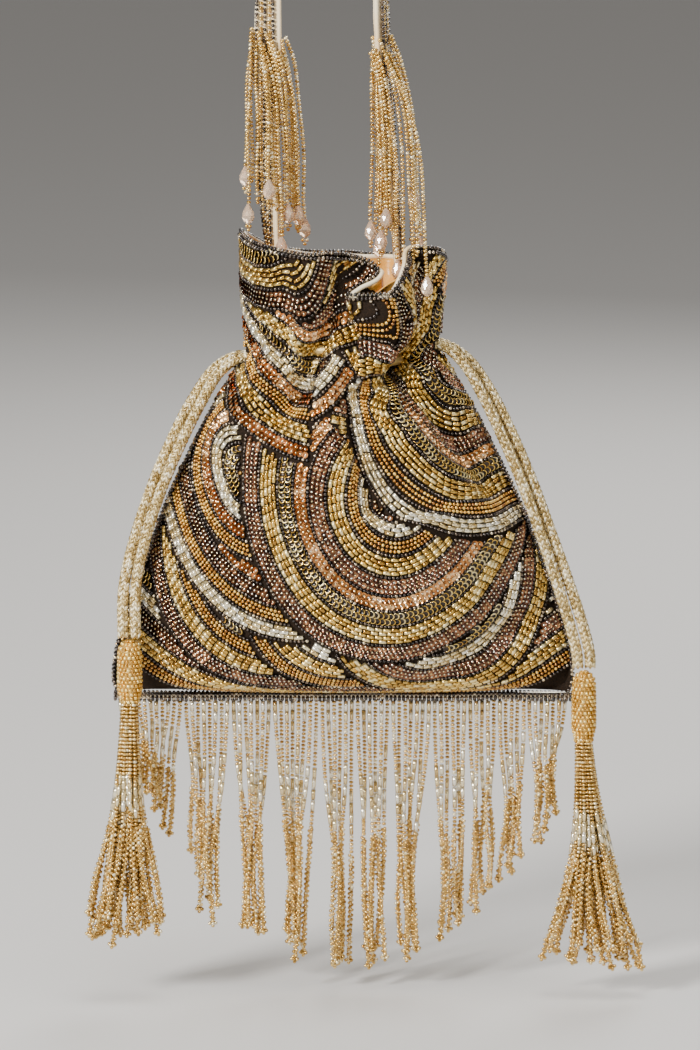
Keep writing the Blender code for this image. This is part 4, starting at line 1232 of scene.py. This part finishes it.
def bead_strings(side):
    """Gold bead strings round the strap: every third ends in a crystal, and each in a picot."""
    bunch, sign = STRINGS[side], -1 if side == "left" else 1
    hung = np.array(bunch["crystals"])
    middle = hung.mean(axis=0)
    beads = Batch()
    count = STRINGS_EACH * len(hung)
    for number, start in enumerate(string_starts(bunch, sign, count)):
        first, share = number // STRINGS_EACH, number % STRINGS_EACH / STRINGS_EACH
        crystal = hung[first]
        top = start + np.array((0, 0, RANDOM.uniform(-5, 8)))
        if share:
            end = crystal + share * (hung[min(first + 1, len(hung) - 1)] - crystal)
            end = end + RANDOM.uniform(0.05, 0.4) * (middle - end) * np.array((1, 1, 0))
            end[2] += RANDOM.uniform(2, 15)
            tip = end - np.array((0, 0, 2.2))
        else:
            end = crystal + np.array((0, 0, CRYSTAL_LENGTH / 2 + 0.8))
            tip = crystal - np.array((0, 0, CRYSTAL_LENGTH / 2 + 1.0))
            crystal_drop(f"{side}_crystal_piece_{first + 1}", crystal,
                         f"{side}_crystal_{first + 1}")
        drop = end - top
        knots = [top] + [top + drop * np.array((out, out, down))
                         for out, down in ((0.42, 0.14), (0.74, 0.36), (0.92, 0.68))] + [end]
        line = even_line(smooth_line(knots, 1), SEED_PITCH)
        wave = np.sin(np.linspace(0, RANDOM.uniform(6, 12), len(line)) + RANDOM.uniform(0, 6))
        line = line + np.stack((0.4 * wave, 0.2 * wave, np.zeros(len(line))), axis=1)
        axes = rolled(line_axes(line, (0, -1, 0)), RANDOM.uniform(0, 6, len(line)))
        beads.add("seed", line, axes, SEED_SIZE)
        turn = RANDOM.uniform(0, math.tau)
        out = np.array((math.cos(turn), math.sin(turn), 0))
        picot = np.array((tip + 1.0 * out, tip - 1.0 * out, tip - np.array((0, 0, 1.7))))
        beads.add("seed", picot, np.repeat(np.eye(3)[None], 3, axis=0), (1.9, 1.9, 1.9))
    nodes = [f"{side}_bead_string_{number}" for number in range(1, 9)]
    settle(beads.make(side + "_string_beads", MATERIALS["strand"]),
           replaces=nodes)


def crystal_drop(name, middle, node):
    """A faceted drop: rings of flats, each turned by half a flat from the last."""
    sides = 8
    profile = ((0, 0.2), (0.16, 0.5), (0.4, 0.82), (0.66, 1.0), (0.86, 0.72), (1, 0.25))
    points = []
    for number, (share, size) in enumerate(profile):
        for i in range(sides):
            a = math.tau * (i + 0.5 * (number % 2)) / sides
            points.append(middle + np.array((CRYSTAL_RADIUS * size * math.cos(a),
                                             CRYSTAL_RADIUS * size * math.sin(a),
                                             (0.5 - share) * CRYSTAL_LENGTH)))
    faces = []
    for r in range(len(profile) - 1):
        for i in range(sides):
            j = (i + 1) % sides
            low, high = r * sides, (r + 1) * sides
            if r % 2:
                faces += [(low + i, low + j, high + j), (low + i, high + j, high + i)]
            else:
                faces += [(low + i, low + j, high + i), (low + j, high + j, high + i)]
    last = (len(profile) - 1) * sides
    for i in range(1, sides - 1):
        faces += [(0, i + 1, i), (last, last + i, last + i + 1)]
    faces = np.array(faces)[:, ::-1]
    obj = make_mesh(name, np.array(points), [faces], MATERIALS["crystal"],
                    np.ones(len(faces), bool))
    return settle(obj, replaces=[node])


# ---------------------------------------------------------------- stage
PICTURE_HEIGHT = 477.3        # what the picture takes in, in millimetres
PICTURE_MIDDLE = (3.22, 0, 77.0)
CAMERA_DISTANCE = 2.6
CAMERA_ELEVATION = 10
SENSOR = 36.0
FLOOR_REACH, FLOOR_GAP = 60.0, 0.012     # in metres


def stage():
    """The camera, the floor under the hanging bag and soft studio lights."""
    target = to_row(PICTURE_MIDDLE)
    tilt = math.radians(CAMERA_ELEVATION)
    camera = bpy.data.objects.new("camera", bpy.data.cameras.new("camera"))
    camera.data.sensor_width = SENSOR
    camera.data.lens = SENSOR * CAMERA_DISTANCE / (PICTURE_HEIGHT * MM)
    camera.location = target + CAMERA_DISTANCE * np.array((0, -math.cos(tilt), math.sin(tilt)))
    camera.rotation_euler = (math.pi / 2 - tilt, 0, 0)
    bpy.context.scene.collection.objects.link(camera)
    bpy.context.scene.camera = camera

    material, _, _ = new_material("studio_floor", (0.62, 0.60, 0.57), 0.0, 0.8)
    floor_height = cad_low.z - FLOOR_GAP
    corners = FLOOR_REACH * np.array([(-1, -1), (1, -1), (1, 1), (-1, 1)])
    mesh = bpy.data.meshes.new("floor")
    mesh.from_pydata([(x, y, floor_height) for x, y in corners], [], [(0, 1, 2, 3)])
    mesh.materials.append(material)
    floor = bpy.data.objects.new("floor", mesh)
    bpy.context.scene.collection.objects.link(floor)

    world = bpy.data.worlds.new("studio")
    world.use_nodes = True
    world.node_tree.nodes["Background"].inputs["Color"].default_value = (0.50, 0.49, 0.48, 1)
    world.node_tree.nodes["Background"].inputs["Strength"].default_value = 0.55
    bpy.context.scene.world = world

    for name, place, width, energy in (
            ("key", (-1.2, -1.4, 0.6), 0.45, 70), ("fill", (1.5, -1.3, 0.1), 1.2, 6),
            ("top", (0.1, -0.2, 1.3), 0.8, 16), ("back", (0.5, 1.5, 0.7), 1.0, 20)):
        light = bpy.data.lights.new(name, "AREA")
        light.size = width
        light.energy = energy
        lamp = bpy.data.objects.new(name, light)
        lamp.location = place
        aim = Vector(place) - Vector(target)
        lamp.rotation_euler = aim.to_track_quat("Z", "Y").to_euler()
        bpy.context.scene.collection.objects.link(lamp)


# ---------------------------------------------------------------- build
stage()
bindings = {side: tassel_binding(side) for side in ("left", "right")}
drawstrings()
sides = [Side("front", 0.0), Side("back", math.pi)]
for side in sides:
    side.make_cloth()
    embroidery = Embroidery(side)
    embroidery.fill()
    embroidery.make()
edge_rows()
lining()
fringe()
for side in ("left", "right"):
    tassel_skirt(side)
    bead_strings(side)
handle()
